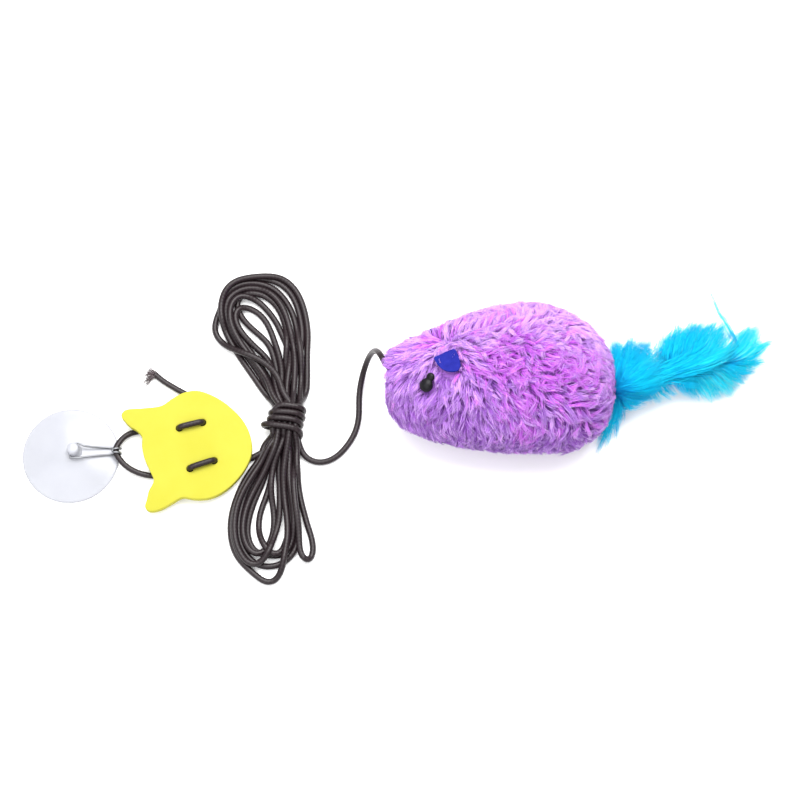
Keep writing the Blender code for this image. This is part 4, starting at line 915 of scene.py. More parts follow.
def hook_side(side):
    """Half of the hairpin, from its end in the boss to the closed tip. side is -1 near, +1 far."""
    end = (BOSS[0] + side * ax * 1.1, BOSS[1] + side * ay * 1.1, BOSS[2])
    out = (BOSS[0] + side * ax * 3.2, BOSS[1] + side * ay * 3.2, BOSS[2])
    low_y = LOOP_AT[1] + (-1.25 if side < 0 else 1.55)
    tip_y = LOOP_AT[1] + (-0.95 if side < 0 else 0.35)
    if side < 0:
        shank = [(BOSS[0] + 1.3, BOSS[1] - 3.15, 6.65), (-126.5, -25.4, 4.9), (-120.6, -24.4, 2.75)]
    else:
        shank = [(BOSS[0] + 4.6, BOSS[1] + 1.9, 6.5), (-125.4, -21.6, 4.7), (-120.6, -21.4, 2.75)]
    bend = []
    for i in range(12):
        a = math.radians(-95 + 205 * i / 11)
        y = low_y + (tip_y - low_y) * i / 11
        cord_x = LOOP_AT[0] + 0.1 * (y - LOOP_AT[1]) ** 2
        bend.append((cord_x + J_R * math.cos(a), y, LOOP_AT[2] + J_R * math.sin(a)))
    return [end, out] + shank + bend


near, far = hook_side(-1), hook_side(1)
tip_a, tip_b = np.array(near[-1]), np.array(far[-1])
back = np.array([-0.5, 0.0, -0.25])
wire_line = near + [tuple(tip_a * 0.75 + tip_b * 0.25 + back), tuple(tip_a * 0.25 + tip_b * 0.75 + back)] + far[::-1]
hook = swept("wire_hairpin_hook", grid(curve_through(np.array(wire_line), 0.22)), 0.4 * MM, WIRE, sides=12)
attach(hook, "hook")
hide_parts("wire_hook")


# ---------------------------------------------------------------- plush body
ROLL = math.radians(33)  # the back seam leans this far from straight up, towards +Y
BELLY_SEAM = math.radians(115)
STATIONS = np.array(
    [
        (-3.4, 5.2, 27.2, 3.5, 3.5), (-2.8, 2.9, 23.9, 9.0, 9.0), (-0.6, 1.4, 21.9, 12.6, 12.2), (4.0, 0.6, 21.3, 15.9, 15.2),
        (11.0, 0.3, 22.0, 19.0, 18.1), (20.0, 0.6, 23.0, 21.9, 21.0), (30.0, 1.4, 23.8, 24.7, 23.6), (41.0, 2.2, 24.2, 26.9, 25.4),
        (52.0, 2.4, 24.3, 27.5, 25.9), (62.0, 1.6, 24.1, 26.4, 25.3), (70.0, 0.5, 23.6, 24.0, 23.4), (77.0, 0.0, 22.6, 19.6, 19.4),
        (81.6, 0.0, 21.4, 14.0, 13.8), (84.0, 0.2, 20.4, 8.8, 8.8), (84.8, 0.3, 20.0, 4.9, 4.9),
    ]
)  # fmt: skip


def section(u):
    """The body's sections at station numbers u: x, centre y, centre z, half width, half height, in mm."""
    u = np.asarray(u, float)
    last = len(STATIONS) - 1
    i = np.clip(np.floor(u).astype(int), 0, last - 1)
    f = (u - i)[..., None]
    p0, p1, p2, p3 = (STATIONS[np.clip(i + k, 0, last)] for k in (-1, 0, 1, 2))
    return p1 + 0.5 * f * (p2 - p0 + f * (2 * p0 - 5 * p1 + 4 * p2 - p3 + f * (3 * (p1 - p2) + p3 - p0)))


def skin(u, theta, inset=0.0):
    """Points of the cloth's outer face, in layout mm. theta turns from +Z towards +Y."""
    s = section(u)
    y = s[..., 1] + (s[..., 3] - inset) * np.sin(theta)
    z = np.maximum(s[..., 2] + (s[..., 4] - inset) * np.cos(theta), inset)
    return np.stack([s[..., 0] + 0 * y, y, z], -1)


def skin_frame(u, theta):
    """Where the cloth is, its outward direction, and its stretch along u and theta."""
    u, theta = np.asarray(u, float), np.asarray(theta, float)
    e = 0.02
    a, b = np.clip(u - e, 0, 14), np.clip(u + e, 0, 14)
    along = (skin(b, theta) - skin(a, theta)) / (b - a)[..., None]
    around = (skin(u, theta + e) - skin(u, theta - e)) / (2 * e)
    n = np.cross(around, along)
    size = np.linalg.norm(n, axis=-1)
    n = n / np.maximum(size, 1e-9)[..., None]
    spot = skin(u, theta)
    s = section(u)
    flip = ((spot - s[..., :3]) * n).sum(-1) < 0
    n[flip] *= -1
    return spot, n, size


def station_at(x):
    """The station number at plan position x."""
    us = np.linspace(0, 14, 2801)
    return float(np.interp(x, section(us)[:, 0], us))


PILE_FOOT = Nodes("pile_foot")
PILE_FOOT.set(Roughness=0.95, Specular_IOR_Level=0.1, Sheen_Weight=0.3)
where = PILE_FOOT.place()
foot = PILE_FOOT.math(
    "ADD",
    PILE_FOOT.math("MULTIPLY", PILE_FOOT.noise(where, 700.0, 3.0, 0.7), 0.7),
    PILE_FOOT.math("MULTIPLY", PILE_FOOT.noise(where, 110.0, 2.0), 0.3),
)
# the foot goes from its darker colour towards -Y to a lighter one towards +Y, the side the key light comes from:
# painted shade and painted light; the noise is its own tone
across = PILE_FOOT.add("ShaderNodeSeparateXYZ", in_0=where).outputs["Y"]
lit_side_share = PILE_FOOT.math("MULTIPLY_ADD", across, 38.0, 0.15, clamp=True)
dim = PILE_FOOT.ramp(foot, [(0.3, (0.220, 0.072, 0.380)), (0.7, (0.400, 0.165, 0.610))])
fair = PILE_FOOT.ramp(foot, [(0.3, (0.540, 0.290, 0.720)), (0.7, (0.740, 0.450, 0.880))])
PILE_FOOT.link(PILE_FOOT.mix(lit_side_share, dim, fair), "Base Color")
PILE_FOOT.bump(foot, 0.8, 0.0012)


def shell(name, start, end, inset, wall, mat, seam=0.30, rows=57, columns=26):
    """One panel of the body's cloth between two seams, wall mm thick."""
    us = np.concatenate([[0, 0.3, 0.6, 0.85], np.linspace(1, 13, rows - 8), [13.2, 13.45, 13.7, 14]])
    s = section(us)
    edge = seam / 2 / s[:, 3]
    f = np.linspace(0, 1, columns)
    theta = (start + edge)[:, None] * (1 - f) + (end - edge)[:, None] * f
    u2 = np.repeat(us[:, None], columns, 1)
    outer, inner = skin(u2, theta, inset), skin(u2, theta, inset + wall)
    r, c = outer.shape[:2]
    pts = np.concatenate([outer.reshape(-1, 3), inner.reshape(-1, 3)])
    i, k = np.meshgrid(np.arange(r - 1), np.arange(c - 1), indexing="ij")
    a = (i * c + k).ravel()
    faces = [np.stack([a, a + c, a + c + 1, a + 1], 1)]
    faces.append(faces[0][:, ::-1] + r * c)
    loop = np.concatenate([np.arange(c), np.arange(1, r) * c + c - 1, (r - 1) * c + np.arange(c - 2, -1, -1), np.arange(r - 2, 0, -1) * c])
    after = np.roll(loop, -1)
    faces.append(np.stack([loop, after, after + r * c, loop + r * c], 1))
    thing = mesh_object(name, grid(pts), np.concatenate(faces), mat)
    bm = bmesh.new()
    bm.from_mesh(thing.data)
    bmesh.ops.recalc_face_normals(bm, faces=bm.faces)
    bm.to_mesh(thing.data)
    bm.free()
    return thing


panels = []
for name, node, start, end in (
    ("right_side_cloth", "right_side_panel", ROLL, ROLL + BELLY_SEAM),
    ("belly_cloth", "belly_panel", ROLL + BELLY_SEAM, ROLL + 2 * math.pi - BELLY_SEAM),
    ("left_side_cloth", "left_side_panel", ROLL - BELLY_SEAM, ROLL),
):
    cloth = shell(name, start, end, 0.30, 2.0, PILE_FOOT.mat)
    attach(cloth, "root")
    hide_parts(node)
    panels.append(cloth)

# The way the pile is brushed: x, y, z of a place, then the plan direction there, across and up the picture
LEAN = [
    (0, 16, 27, -0.8, 0.5), (-1, 5, 36, -0.95, -0.2), (-3, -1, 26, -0.6, -0.8), (0, -10, 33, -0.45, -0.9),
    (5, -11, 37, -0.25, -0.97), (11, -16, 36, -0.15, -0.99), (19, -18, 39, 0, -1), (18, -9, 44, 0.05, -1),
    (27, -7, 48, 0.5, -0.86), (30, -17, 44, 0.45, -0.9), (36, -2, 52, 0.5, -0.86), (39, -11, 49, 0.45, -0.9),
    (46, -22, 41, 0.5, -0.85), (40, -26, 33, 0.5, -0.86), (27, 8, 49, 0.45, -0.9), (32, 9, 50, 0.4, -0.9),
    (13, 22, 29, -0.3, 0.95), (8, 9, 40, -0.5, -0.5), (21, 22, 35, 0.1, 1), (31, 23, 41, 0, 1),
    (39, 27, 40, -0.1, 1), (46, 28, 40, 0.1, 1), (56, 25, 43, 0.3, 0.95), (66, 21, 44, 0.6, 0.8),
    (75, 17, 40, 0.8, 0.6), (82, 9, 36, 0.95, 0.2), (85, 1, 28, 1, -0.1), (83, -10, 32, 1, -0.3),
    (82, -16, 20, 0.8, -0.6), (72, -25, 28, 0.4, -0.9), (63, -28, 25, 0.1, -1), (53, -28, 30, -0.1, -1),
    (55, -9, 51, 0.6, -0.7), (65, -14, 48, 0.85, -0.4), (68, -2, 51, 0.9, -0.2), (55, 11, 52, 0.4, 0.7),
    (49, 16, 50, 0.2, 0.8), (46, 2, 53, 0.35, -0.55), (62, 7, 52, 0.8, 0.3), (37, 12, 50, 0.35, -0.2),
    (4, -3, 39, -0.5, -0.6), (11, 0, 43, -0.2, -0.7), (23, -25, 25, 0.2, -1), (14, -21, 31, 0, -1),
    (4, -17, 27, -0.2, -1), (49, -14, 48, 0.5, -0.8), (58, -22, 41, 0.45, -0.8),
]  # fmt: skip
LEAN += [
    (44, 2, 0, 0.9, -0.2), (20, 2, 0, 0.6, -0.3), (70, 0, 0, 1.0, 0.1), (44, 30, 14, 0.3, 0.7), (24, 24, 12, 0.1, 0.8),
    (66, 26, 14, 0.6, 0.6), (6, 16, 12, -0.4, 0.7), (80, 14, 12, 0.9, 0.4), (2, 0, 8, -0.8, -0.2), (82, 0, 8, 1.0, -0.1),
]  # fmt: skip


def waves(p, seed, wavelength):
    """Smooth noise of about -1 to 1 at points p, in mm."""
    r = np.random.default_rng(seed)
    total = np.zeros(len(p))
    for k in range(9):
        d = r.normal(size=3)
        d /= np.linalg.norm(d)
        total += np.sin(p @ d * 2 * math.pi / (wavelength * r.uniform(0.6, 1.6)) + r.uniform(0, 6.3))
    return total / 3.2


def bump_at(p, centre, reach):
    """1 at centre, falling smoothly to 0 with distance."""
    return np.exp(-(((p - np.array(centre, float)) ** 2).sum(1)) / reach**2)


EAR_U, EAR_THETA, EAR_LIFT = station_at(20.0), math.radians(5), 1.7
ear_spot, ear_out, _ = skin_frame(np.array([EAR_U]), np.array([EAR_THETA]))
ear_spot, ear_out = ear_spot[0], ear_out[0]
ear_x = np.array([1.0, 0, 0]) - ear_out * ear_out[0]
ear_x /= np.linalg.norm(ear_x)
ear_y = np.cross(ear_out, ear_x)
EAR_MIDDLE = ear_spot + ear_out * EAR_LIFT
eye_u, eye_theta = station_at(12.4), math.radians(-16)
eye_spot, eye_out, _ = skin_frame(np.array([eye_u]), np.array([eye_theta]))
eye_spot, eye_out = eye_spot[0], eye_out[0]
far_spot, far_out, _ = skin_frame(np.array([station_at(18.5)]), np.array([math.radians(70)]))
far_spot, far_out = far_spot[0], far_out[0]
far_x = np.array([1.0, 0, 0]) - far_out * far_out[0]
far_x /= np.linalg.norm(far_x)
far_y = np.cross(far_out, far_x)
FAR_MIDDLE = far_spot + far_out * 1.5
far_eye_spot, far_eye_out, _ = skin_frame(np.array([eye_u]), np.array([math.radians(86)]))
far_eye_spot, far_eye_out = far_eye_spot[0], far_eye_out[0]

rng = np.random.default_rng(5)
CLUMPS, HAIRS, JOINTS = 5200, 13, 6
us = rng.uniform(0, 14, 90000)
thetas = rng.uniform(-math.pi, math.pi, 90000)
_, _, stretch = skin_frame(us, thetas)
kept = rng.uniform(0, stretch.max(), len(us)) < stretch
us, thetas = us[kept], thetas[kept]
spots = skin(us, thetas)
chosen, apart = [], 1.46
taken = np.full((CLUMPS * 2, 3), 1e6)
for i in range(len(us)):
    if ((taken[: len(chosen)] - spots[i]) ** 2).sum(1).min(initial=1e9) > apart**2:
        taken[len(chosen)] = spots[i]
        chosen.append(i)
        if len(chosen) == CLUMPS:
            break
us, thetas = us[chosen], thetas[chosen]
root, n, _ = skin_frame(us, thetas)
lean = np.array(LEAN, float)
gap = ((root[:, None, :] - lean[None, :, :3]) ** 2).sum(2)
weight = 1 / (gap + 12) ** 2
weight /= weight.sum(1)[:, None]
plan = weight @ lean[:, 3:5]
curly = np.clip(
    0.16 + 0.9 * bump_at(root, (60, 10, 50), 22) + 0.6 * bump_at(root, (72, -6, 44), 20) + 0.45 * bump_at(root, (48, 4, 50), 14), 0, 1
)
turn = waves(root, 21, 26) * (0.22 + 0.75 * curly) + rng.normal(0, 0.14, len(root)) * (1 + 2.2 * curly)
c, s = np.cos(turn), np.sin(turn)
plan = np.stack([plan[:, 0] * c - plan[:, 1] * s, plan[:, 0] * s + plan[:, 1] * c], 1)
way = np.stack([plan[:, 0], plan[:, 1] * 0.96, plan[:, 1] * 0.28 - 0.35 * (1 - n[:, 2]) / 2], 1)
way -= n * (way * n).sum(1)[:, None]
way /= np.maximum(np.linalg.norm(way, axis=1), 1e-9)[:, None]
side = np.cross(n, way)

# how far each clump reaches along the body and stands off it
radius = section(us)[:, 3]
reach = rng.uniform(5.8, 9.4, len(root)) * (1 - 0.25 * curly) * np.clip(radius / 15, 0.62, 1)
stand = rng.uniform(2.9, 4.3, len(root)) * np.clip(radius / 14, 0.80, 1) + 0.6 * curly
ridge, _, _ = skin_frame(np.array([station_at(17.5)]), np.array([math.radians(48)]))
stand += 2.0 * bump_at(root, ridge[0], 6.0)
reach += 1.3 * bump_at(root, (-3, -4, 22), 8)
stand += 0.9 * bump_at(root, (-3, -4, 22), 8) - 1.3 * bump_at(root, (5, 17, 32), 9)
stand *= np.where(n[:, 2] < -0.5, 0.7, 1.0)

# the pile lies flat under the ear, and parts round the eye
t = np.linspace(0, 1, 6)[None, :, None]
centre_line = root[:, None, :] + way[:, None, :] * reach[:, None, None] * t + n[:, None, :] * stand[:, None, None] * (1 - (1 - t) ** 2)
keep_it = np.ones(len(root), bool)
for middle, out, x_axis, y_axis in ((EAR_MIDDLE, ear_out, ear_x, ear_y), (FAR_MIDDLE, far_out, far_x, far_y)):
    from_ear = centre_line - middle
    in_ear = np.hypot((from_ear @ x_axis) / 5.3, (from_ear @ y_axis) / 5.0)
    over_ear = (in_ear < 1.0).any(1) & ((root - middle) @ out > -9)
    keep_it &= ~((in_ear[:, 0] < 0.86) & over_ear)
    crossing = over_ear & keep_it
    reach[crossing] *= np.clip((in_ear[crossing, 0] - 0.72) * 0.9, 0.26, 1)
    stand[crossing] *= 0.80
for spot, out in ((eye_spot, eye_out), (far_eye_spot, far_eye_out)):
    from_eye = np.linalg.norm(centre_line - (spot + out * 1.5), axis=2).min(1)
    root_from_eye = np.linalg.norm(root - spot, axis=1)
    keep_it &= root_from_eye > 3.5
    near_eye = (from_eye < 3.6) & keep_it
    reach[near_eye] *= np.clip((root_from_eye[near_eye] - 2.6) / 5.5, 0.25, 1)
    stand[near_eye] *= 0.7

# colour of each clump on the palette: violet low on it, lilac in the middle, magenta high up. The magenta and the waves
# are the plush's own colour; the rise of the tone with y and z and the darker spots on the near side are painted light
# and painted shade
AT_MID, AT_CHEEK, AT_NOSE, AT_LOW, AT_TOP = (37, -9, 38), (8, -9, 24), (0.5, 1.5, 24), (50, -22, 14), (54, 19, 46)
magenta = np.clip(
    1.0 * bump_at(root, (46, 0, 52), 19)
    - 0.30 * bump_at(root, (54, 19, 46), 12)
    + 0.55 * bump_at(root, (68, -8, 46), 18)
    + 0.30 * bump_at(root, (14, 14, 40), 13)
    + 0.10 * bump_at(root, (30, 10, 50), 12)
    - 0.32 * bump_at(root, AT_MID, 12)
    - 0.20 * bump_at(root, AT_NOSE, 9)
    + 0.20 * waves(root, 8, 18),
    0,
    1,
)
# painted light and shade: the tone rises towards +y, where the light comes from, and upwards; it is raised at the top
# and lowered at the mid flank, cheek, nose and low front
fair = 0.50 + 0.018 * (root[:, 1] - 2) + 0.007 * (root[:, 2] - 30) + 0.16 * waves(root, 9, 9)
fair += 0.12 * bump_at(root, AT_TOP, 14) - 0.36 * bump_at(root, AT_MID, 13) - 0.31 * bump_at(root, AT_CHEEK, 12)
fair = np.clip(fair - 0.32 * bump_at(root, AT_NOSE, 10) - 0.26 * bump_at(root, AT_LOW, 17), 0, 1)
tone = np.where(
    rng.random(len(root)) < magenta,
    0.66 + 0.28 * np.clip(0.2 + 0.8 * magenta + rng.normal(0, 0.18, len(root)), 0, 1),
    0.06 + 0.54 * np.clip(fair + rng.normal(0, 1, len(root)) * np.where(root[:, 1] < 4, 0.26, 0.13), 0, 1),
)

index = np.flatnonzero(keep_it)
clumps = np.repeat(index, HAIRS)
m = len(clumps)
t = np.linspace(0, 1, JOINTS)[None, :, None]
spread = rng.normal(0, 0.66, (m, 2))
off = n[clumps] * 0 + way[clumps] * spread[:, :1] * 1.25 + side[clumps] * spread[:, 1:]
gather = 1 - 0.44 * t**0.8
share = rng.uniform(0.70, 1.05, m)
reach_h, stand_h = reach[clumps] * share, stand[clumps] * rng.uniform(0.82, 1.06, m)
bend_side = (rng.normal(0, 0.30, len(root)) * (1 + 2.8 * curly))[clumps] + rng.normal(0, 0.10, m)
drop = 0.72 * reach_h**2 / (2 * np.maximum(radius[clumps], 8))
lines = (
    root[clumps][:, None, :]
    - n[clumps][:, None, :] * 0.35
    + off[:, None, :] * gather
    + way[clumps][:, None, :] * (reach_h[:, None, None] * t**1.12)
    + n[clumps][:, None, :] * (stand_h[:, None, None] * (1 - (1 - t) ** 2.1) - drop[:, None, None] * t**2)
    + side[clumps][:, None, :] * (bend_side * reach_h)[:, None, None] * t**2 * 0.55
)
phase = rng.uniform(0, 6.3, len(root))[clumps] + rng.normal(0, 0.4, m)
swing = (0.16 + 0.34 * curly)[clumps] * rng.uniform(0.6, 1.3, m)
lines += side[clumps][:, None, :] * (np.sin(t * (5.2 + 1.6 * curly[clumps])[:, None, None] + phase[:, None, None]) * swing[:, None, None] * t)
lines += rng.normal(0, 0.07, (m, 1, 3)) * t
lines += rng.normal(0, 0.04, (m, JOINTS, 3)) * t
lines[..., 2] = np.maximum(lines[..., 2], 0.16 + 0.10 * rng.random((m, 1)))
thick = np.array([0.112, 0.118, 0.112, 0.094, 0.068, 0.026])[None, :] * rng.uniform(0.8, 1.15, m)[:, None] * MM
shade_h = tone[clumps] + rng.normal(0, 0.055, m)
# one hair in ten on the near side is set pale at random: painted highlights on single hairs
shade_h = np.clip(np.where((rng.random(m) < 0.10) & (root[clumps][:, 1] < 8), rng.uniform(0.52, 0.63, m), shade_h), 0.0, 1.0)

n_ = Nodes("plush_fibre")
n_.set(Roughness=0.45, Specular_IOR_Level=0.25, Sheen_Weight=0.15, Sheen_Roughness=0.4)
u, v, uv = n_.uv("OFBake")
palette = n_.ramp(
    v,
    [
        (0.03, (0.262, 0.078, 0.480)), (0.18, (0.400, 0.135, 0.660)), (0.34, (0.530, 0.220, 0.790)), (0.50, (0.660, 0.330, 0.880)),
        (0.61, (0.760, 0.460, 0.930)), (0.66, (0.720, 0.280, 0.880)), (0.80, (0.640, 0.150, 0.830)), (0.97, (0.540, 0.090, 0.740)),
    ],
)  # fmt: skip
# the fibres are painted darker at their roots, where the pile shades its own foot, less so towards +Y where the light
# comes from, and paler at their tips: painted shade and painted highlight on the palette colour
upward = n_.add("ShaderNodeSeparateXYZ", in_0=n_.place()).outputs["Y"]
root_shade_amount = n_.math("MULTIPLY_ADD", n_.math("MULTIPLY_ADD", upward, 38.0, 0.15, clamp=True), -0.24, 0.33)
deep = n_.mix(root_shade_amount, palette, (0.160, 0.025, 0.340), "MIX")
bright = n_.mix(0.26, palette, (0.900, 0.700, 1.0), "MIX")
painted_root_shade = n_.mix(n_.math("MULTIPLY", u, 2.4, clamp=True), deep, palette)
whole_fibre = n_.mix(n_.math("MULTIPLY", n_.math("SUBTRACT", u, 0.55), 2.2, clamp=True), painted_root_shade, bright)
n_.link(whole_fibre, "Base Color")
PILE = n_.mat

order = np.argsort(root[clumps][:, 0], kind="stable")
LIMIT = 6100
for k, part in enumerate(np.array_split(order, math.ceil(m / LIMIT))):
    flat = grid(lines[part].reshape(-1, 3)).reshape(len(part), JOINTS, 3)
    pile = strands(f"plush_pile_{k + 1}", flat, thick[part], shade_h[part], PILE)
    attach(pile, "root")


# ---------------------------------------------------------------- ears
FELT = Nodes("blue_felt")
FELT.set(Roughness=0.95, Specular_IOR_Level=0.06)
where = FELT.place()
fuzz = FELT.math("ADD", FELT.math("MULTIPLY", FELT.noise(where, 2600.0, 4.0, 0.7, 1.5), 0.65), FELT.math("MULTIPLY", FELT.noise(where, 420.0, 3.0), 0.35))
FELT.link(FELT.ramp(fuzz, [(0.3, (0.010, 0.012, 0.150)), (0.55, (0.016, 0.020, 0.225)), (0.75, (0.030, 0.036, 0.300))]), "Base Color")
FELT.bump(fuzz, 0.55, 0.0003)
EAR_EDGE = [
    (-5.6, 1.9), (-3.6, 3.1), (-1.2, 4.1), (1.2, 4.6), (2.9, 4.8), (3.9, 3.2), (4.7, 1.0), (5.1, -1.2), (5.1, -3.2),
    (4.2, -4.6), (2.6, -4.9), (0.4, -4.5), (-1.6, -3.6), (-3.4, -2.1), (-4.8, -0.2),
]  # fmt: skip


def ear_mesh(name, middle, x_axis, y_axis, out, mirror=1):
    wrapped = np.array([(x * mirror, y, 0) for x, y in EAR_EDGE[-3:] + EAR_EDGE + EAR_EDGE[:4]])
    dense = curve_through(wrapped, 0.3)
    a = np.argmin(np.linalg.norm(dense[: len(dense) // 3] - wrapped[3], axis=1))
    b = len(dense) - 1 - np.argmin(np.linalg.norm(dense[::-1][: len(dense) // 3] - wrapped[3], axis=1))
    edge = evenly(dense[a : b + 1], 0.55)[:-1, :2]
    m = len(edge)
    rings = [0.12, 0.3, 0.5, 0.68, 0.82, 0.92, 0.975]

    def height(xy):
        r = np.linalg.norm(xy, axis=1) / 5.2
        return 0.75 * r**2 + 0.25 * np.sin(xy[:, 0] * 0.7) * r

    thick = 1.1
    points, z_mid = [], []
    for f, drop in [(r, 0.0) for r in rings] + [(0.995, 0.22), (1.0, 0.55), (0.995, 0.88)] + [(r, 1.1) for r in reversed(rings)]:
        xy = edge * f
        points.append(np.column_stack([xy, height(xy) + thick / 2 - drop * thick / 1.1]))
    count = len(points)
    pts = np.vstack(points + [[0, 0, thick / 2], [0, 0, -thick / 2]])
    faces = []
    for i in range(count - 1):
        for q in range(m):
            q2 = (q + 1) % m
            faces.append((i * m + q, (i + 1) * m + q, (i + 1) * m + q2, i * m + q2))
    for q in range(m):
        q2 = (q + 1) % m
        faces.append((count * m, q, q2))
        faces.append((count * m + 1, (count - 1) * m + q2, (count - 1) * m + q))
    world = middle + pts[:, :1] * x_axis + pts[:, 1:2] * y_axis + pts[:, 2:3] * out
    thing = mesh_object(name, grid(world), faces, FELT.mat)
    bm = bmesh.new()
    bm.from_mesh(thing.data)
    bmesh.ops.recalc_face_normals(bm, faces=bm.faces)
    bm.to_mesh(thing.data)
    bm.free()
    return thing


# the near ear is lifted a little along its front edge
tilt = math.radians(6)
x2 = ear_x * math.cos(tilt) - ear_out * math.sin(tilt)
out2 = ear_out * math.cos(tilt) + ear_x * math.sin(tilt)
near_ear = ear_mesh("felt_ear_near", EAR_MIDDLE + ear_out * 0.3, x2, ear_y, out2)
far_ear = ear_mesh("felt_ear_far", FAR_MIDDLE, far_x, -far_y, far_out)
for thing, node in ((near_ear, "ear_left"), (far_ear, "ear_right")):
    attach(thing, "root")
    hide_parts(node)

# ---------------------------------------------------------------- eyes: a glossy black bead drawn out at one end
EYE = Nodes("black_gloss")
EYE.set(Roughness=0.34, Specular_IOR_Level=0.16)
mottle = EYE.noise(EYE.place(), 600.0, 3.0)
EYE.link(EYE.ramp(mottle, [(0.3, (0.003, 0.003, 0.004)), (0.7, (0.009, 0.008, 0.011))]), "Base Color")
EYE.bump(mottle, 0.1, 0.0001)


def eye_mesh(name, spot, out, turn):
    x_axis = np.array([1.0, 0, 0]) - out * out[0]
    x_axis /= np.linalg.norm(x_axis)
    y_axis = np.cross(out, x_axis)
    along = x_axis * math.cos(turn) + y_axis * math.sin(turn)
    across = np.cross(out, along)
    s = np.linspace(-2.95, 5.6, 34)
    r = np.sqrt(np.maximum(2.85**2 - (s + 0.1) ** 2, 0))
    r2 = np.sqrt(np.maximum(1.75**2 - (s - 3.7) ** 2, 0))
    r = (r**5 + r2**5) ** 0.2
    s, r = s[r > 0.15], r[r > 0.15]
    phi = np.arange(28) * 2 * math.pi / 28
    pts = np.stack([np.repeat(s[:, None], 28, 1), r[:, None] * np.cos(phi), 0.62 * r[:, None] * np.sin(phi)], -1).reshape(-1, 3)
    rows = len(s)
    pts = np.vstack([pts, [s[0] - 0.06, 0, 0], [s[-1] + 0.06, 0, 0]])
    faces = []
    for i in range(rows - 1):
        for q in range(28):
            q2 = (q + 1) % 28
            faces.append((i * 28 + q, i * 28 + q2, (i + 1) * 28 + q2, (i + 1) * 28 + q))
    for q in range(28):
        q2 = (q + 1) % 28
        faces.append((rows * 28, q2, q))
        faces.append((rows * 28 + 1, (rows - 1) * 28 + q, (rows - 1) * 28 + q2))
    world = spot + (pts[:, :1] - 1.1) * along + pts[:, 1:2] * across + pts[:, 2:3] * out
    thing = mesh_object(name, grid(world), faces, EYE.mat)
    bm = bmesh.new()
    bm.from_mesh(thing.data)
    bmesh.ops.recalc_face_normals(bm, faces=bm.faces)
    bm.to_mesh(thing.data)
    bm.free()
    return thing


near_eye_piece = eye_mesh("black_eye_near", eye_spot + eye_out * 2.2 + np.array([-0.5, 0.8, 0.0]), eye_out, math.radians(60))
far_eye_piece = eye_mesh("black_eye_far", far_eye_spot + far_eye_out * 2.0, far_eye_out, math.radians(-60))
for thing, node in ((near_eye_piece, "eye_left"), (far_eye_piece, "eye_right")):
    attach(thing, "root")
    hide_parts(node)

# ---------------------------------------------------------------- feathers: locks of fine barbs, along given routes
FRONT_LOCKS = [
    [(87.5, -1.5, 24), (88.5, 9, 19), (88, 20, 15)],
    [(87.5, -1.5, 24), (89, 9.5, 20), (89.5, 20.5, 16)],
    [(87.5, -1.5, 24), (90, 8.5, 21), (91, 18.5, 17)],
    [(87.5, -1.5, 24), (91, 10, 22), (93.5, 20.5, 18)],
    [(87.5, -1.5, 24), (91.5, 10, 22), (95.5, 22, 18)],
    [(87.5, -1.5, 24), (93, 10, 22), (98, 22, 18)],
    [(87.5, -1.5, 24), (94, 9, 22), (100.5, 20.5, 18)],
    [(87.5, -1.5, 24), (95, 8, 22), (103, 20, 17)],
    [(88, -2, 24), (96.5, 7.5, 21.5), (105.5, 18, 17)],
    [(88, -2, 24), (97.5, 6.5, 21), (107.5, 15.5, 17)],
    [(88, -2, 24), (98.5, 5, 21), (109.5, 13, 16)],
    [(88, -2, 24), (99.5, 3.5, 20.5), (110.5, 10, 16)],
    [(88, -2, 24), (100, 2, 20), (110.5, 6.5, 15)],
    [(88, -2, 23.5), (99.5, 0.5, 18.5), (110.5, 3.5, 14)],
    [(88, -2.5, 23), (99, -0.5, 16.5), (108.5, 1, 13)],
    [(88, -2.5, 22), (97, -2, 15.5), (106, -1.5, 12)],
    [(90, -2, 18), (95, -3.5, 14.5), (102, -3, 11)],
    [(90, -2, 17.5), (93, -4.5, 14), (99, -5, 10)],
    [(89.5, -2, 17), (91, -4.5, 13.5), (95.5, -6.5, 10)],
    [(89, 0, 19), (88, 6.5, 18.5), (88, 12, 18)],
    [(88.5, -2, 18), (87.5, 3, 17), (88.5, 7.5, 19)],
    [(88.5, -1.5, 18), (89, -3.5, 15), (91.5, -6, 12)],
]  # fmt: skip
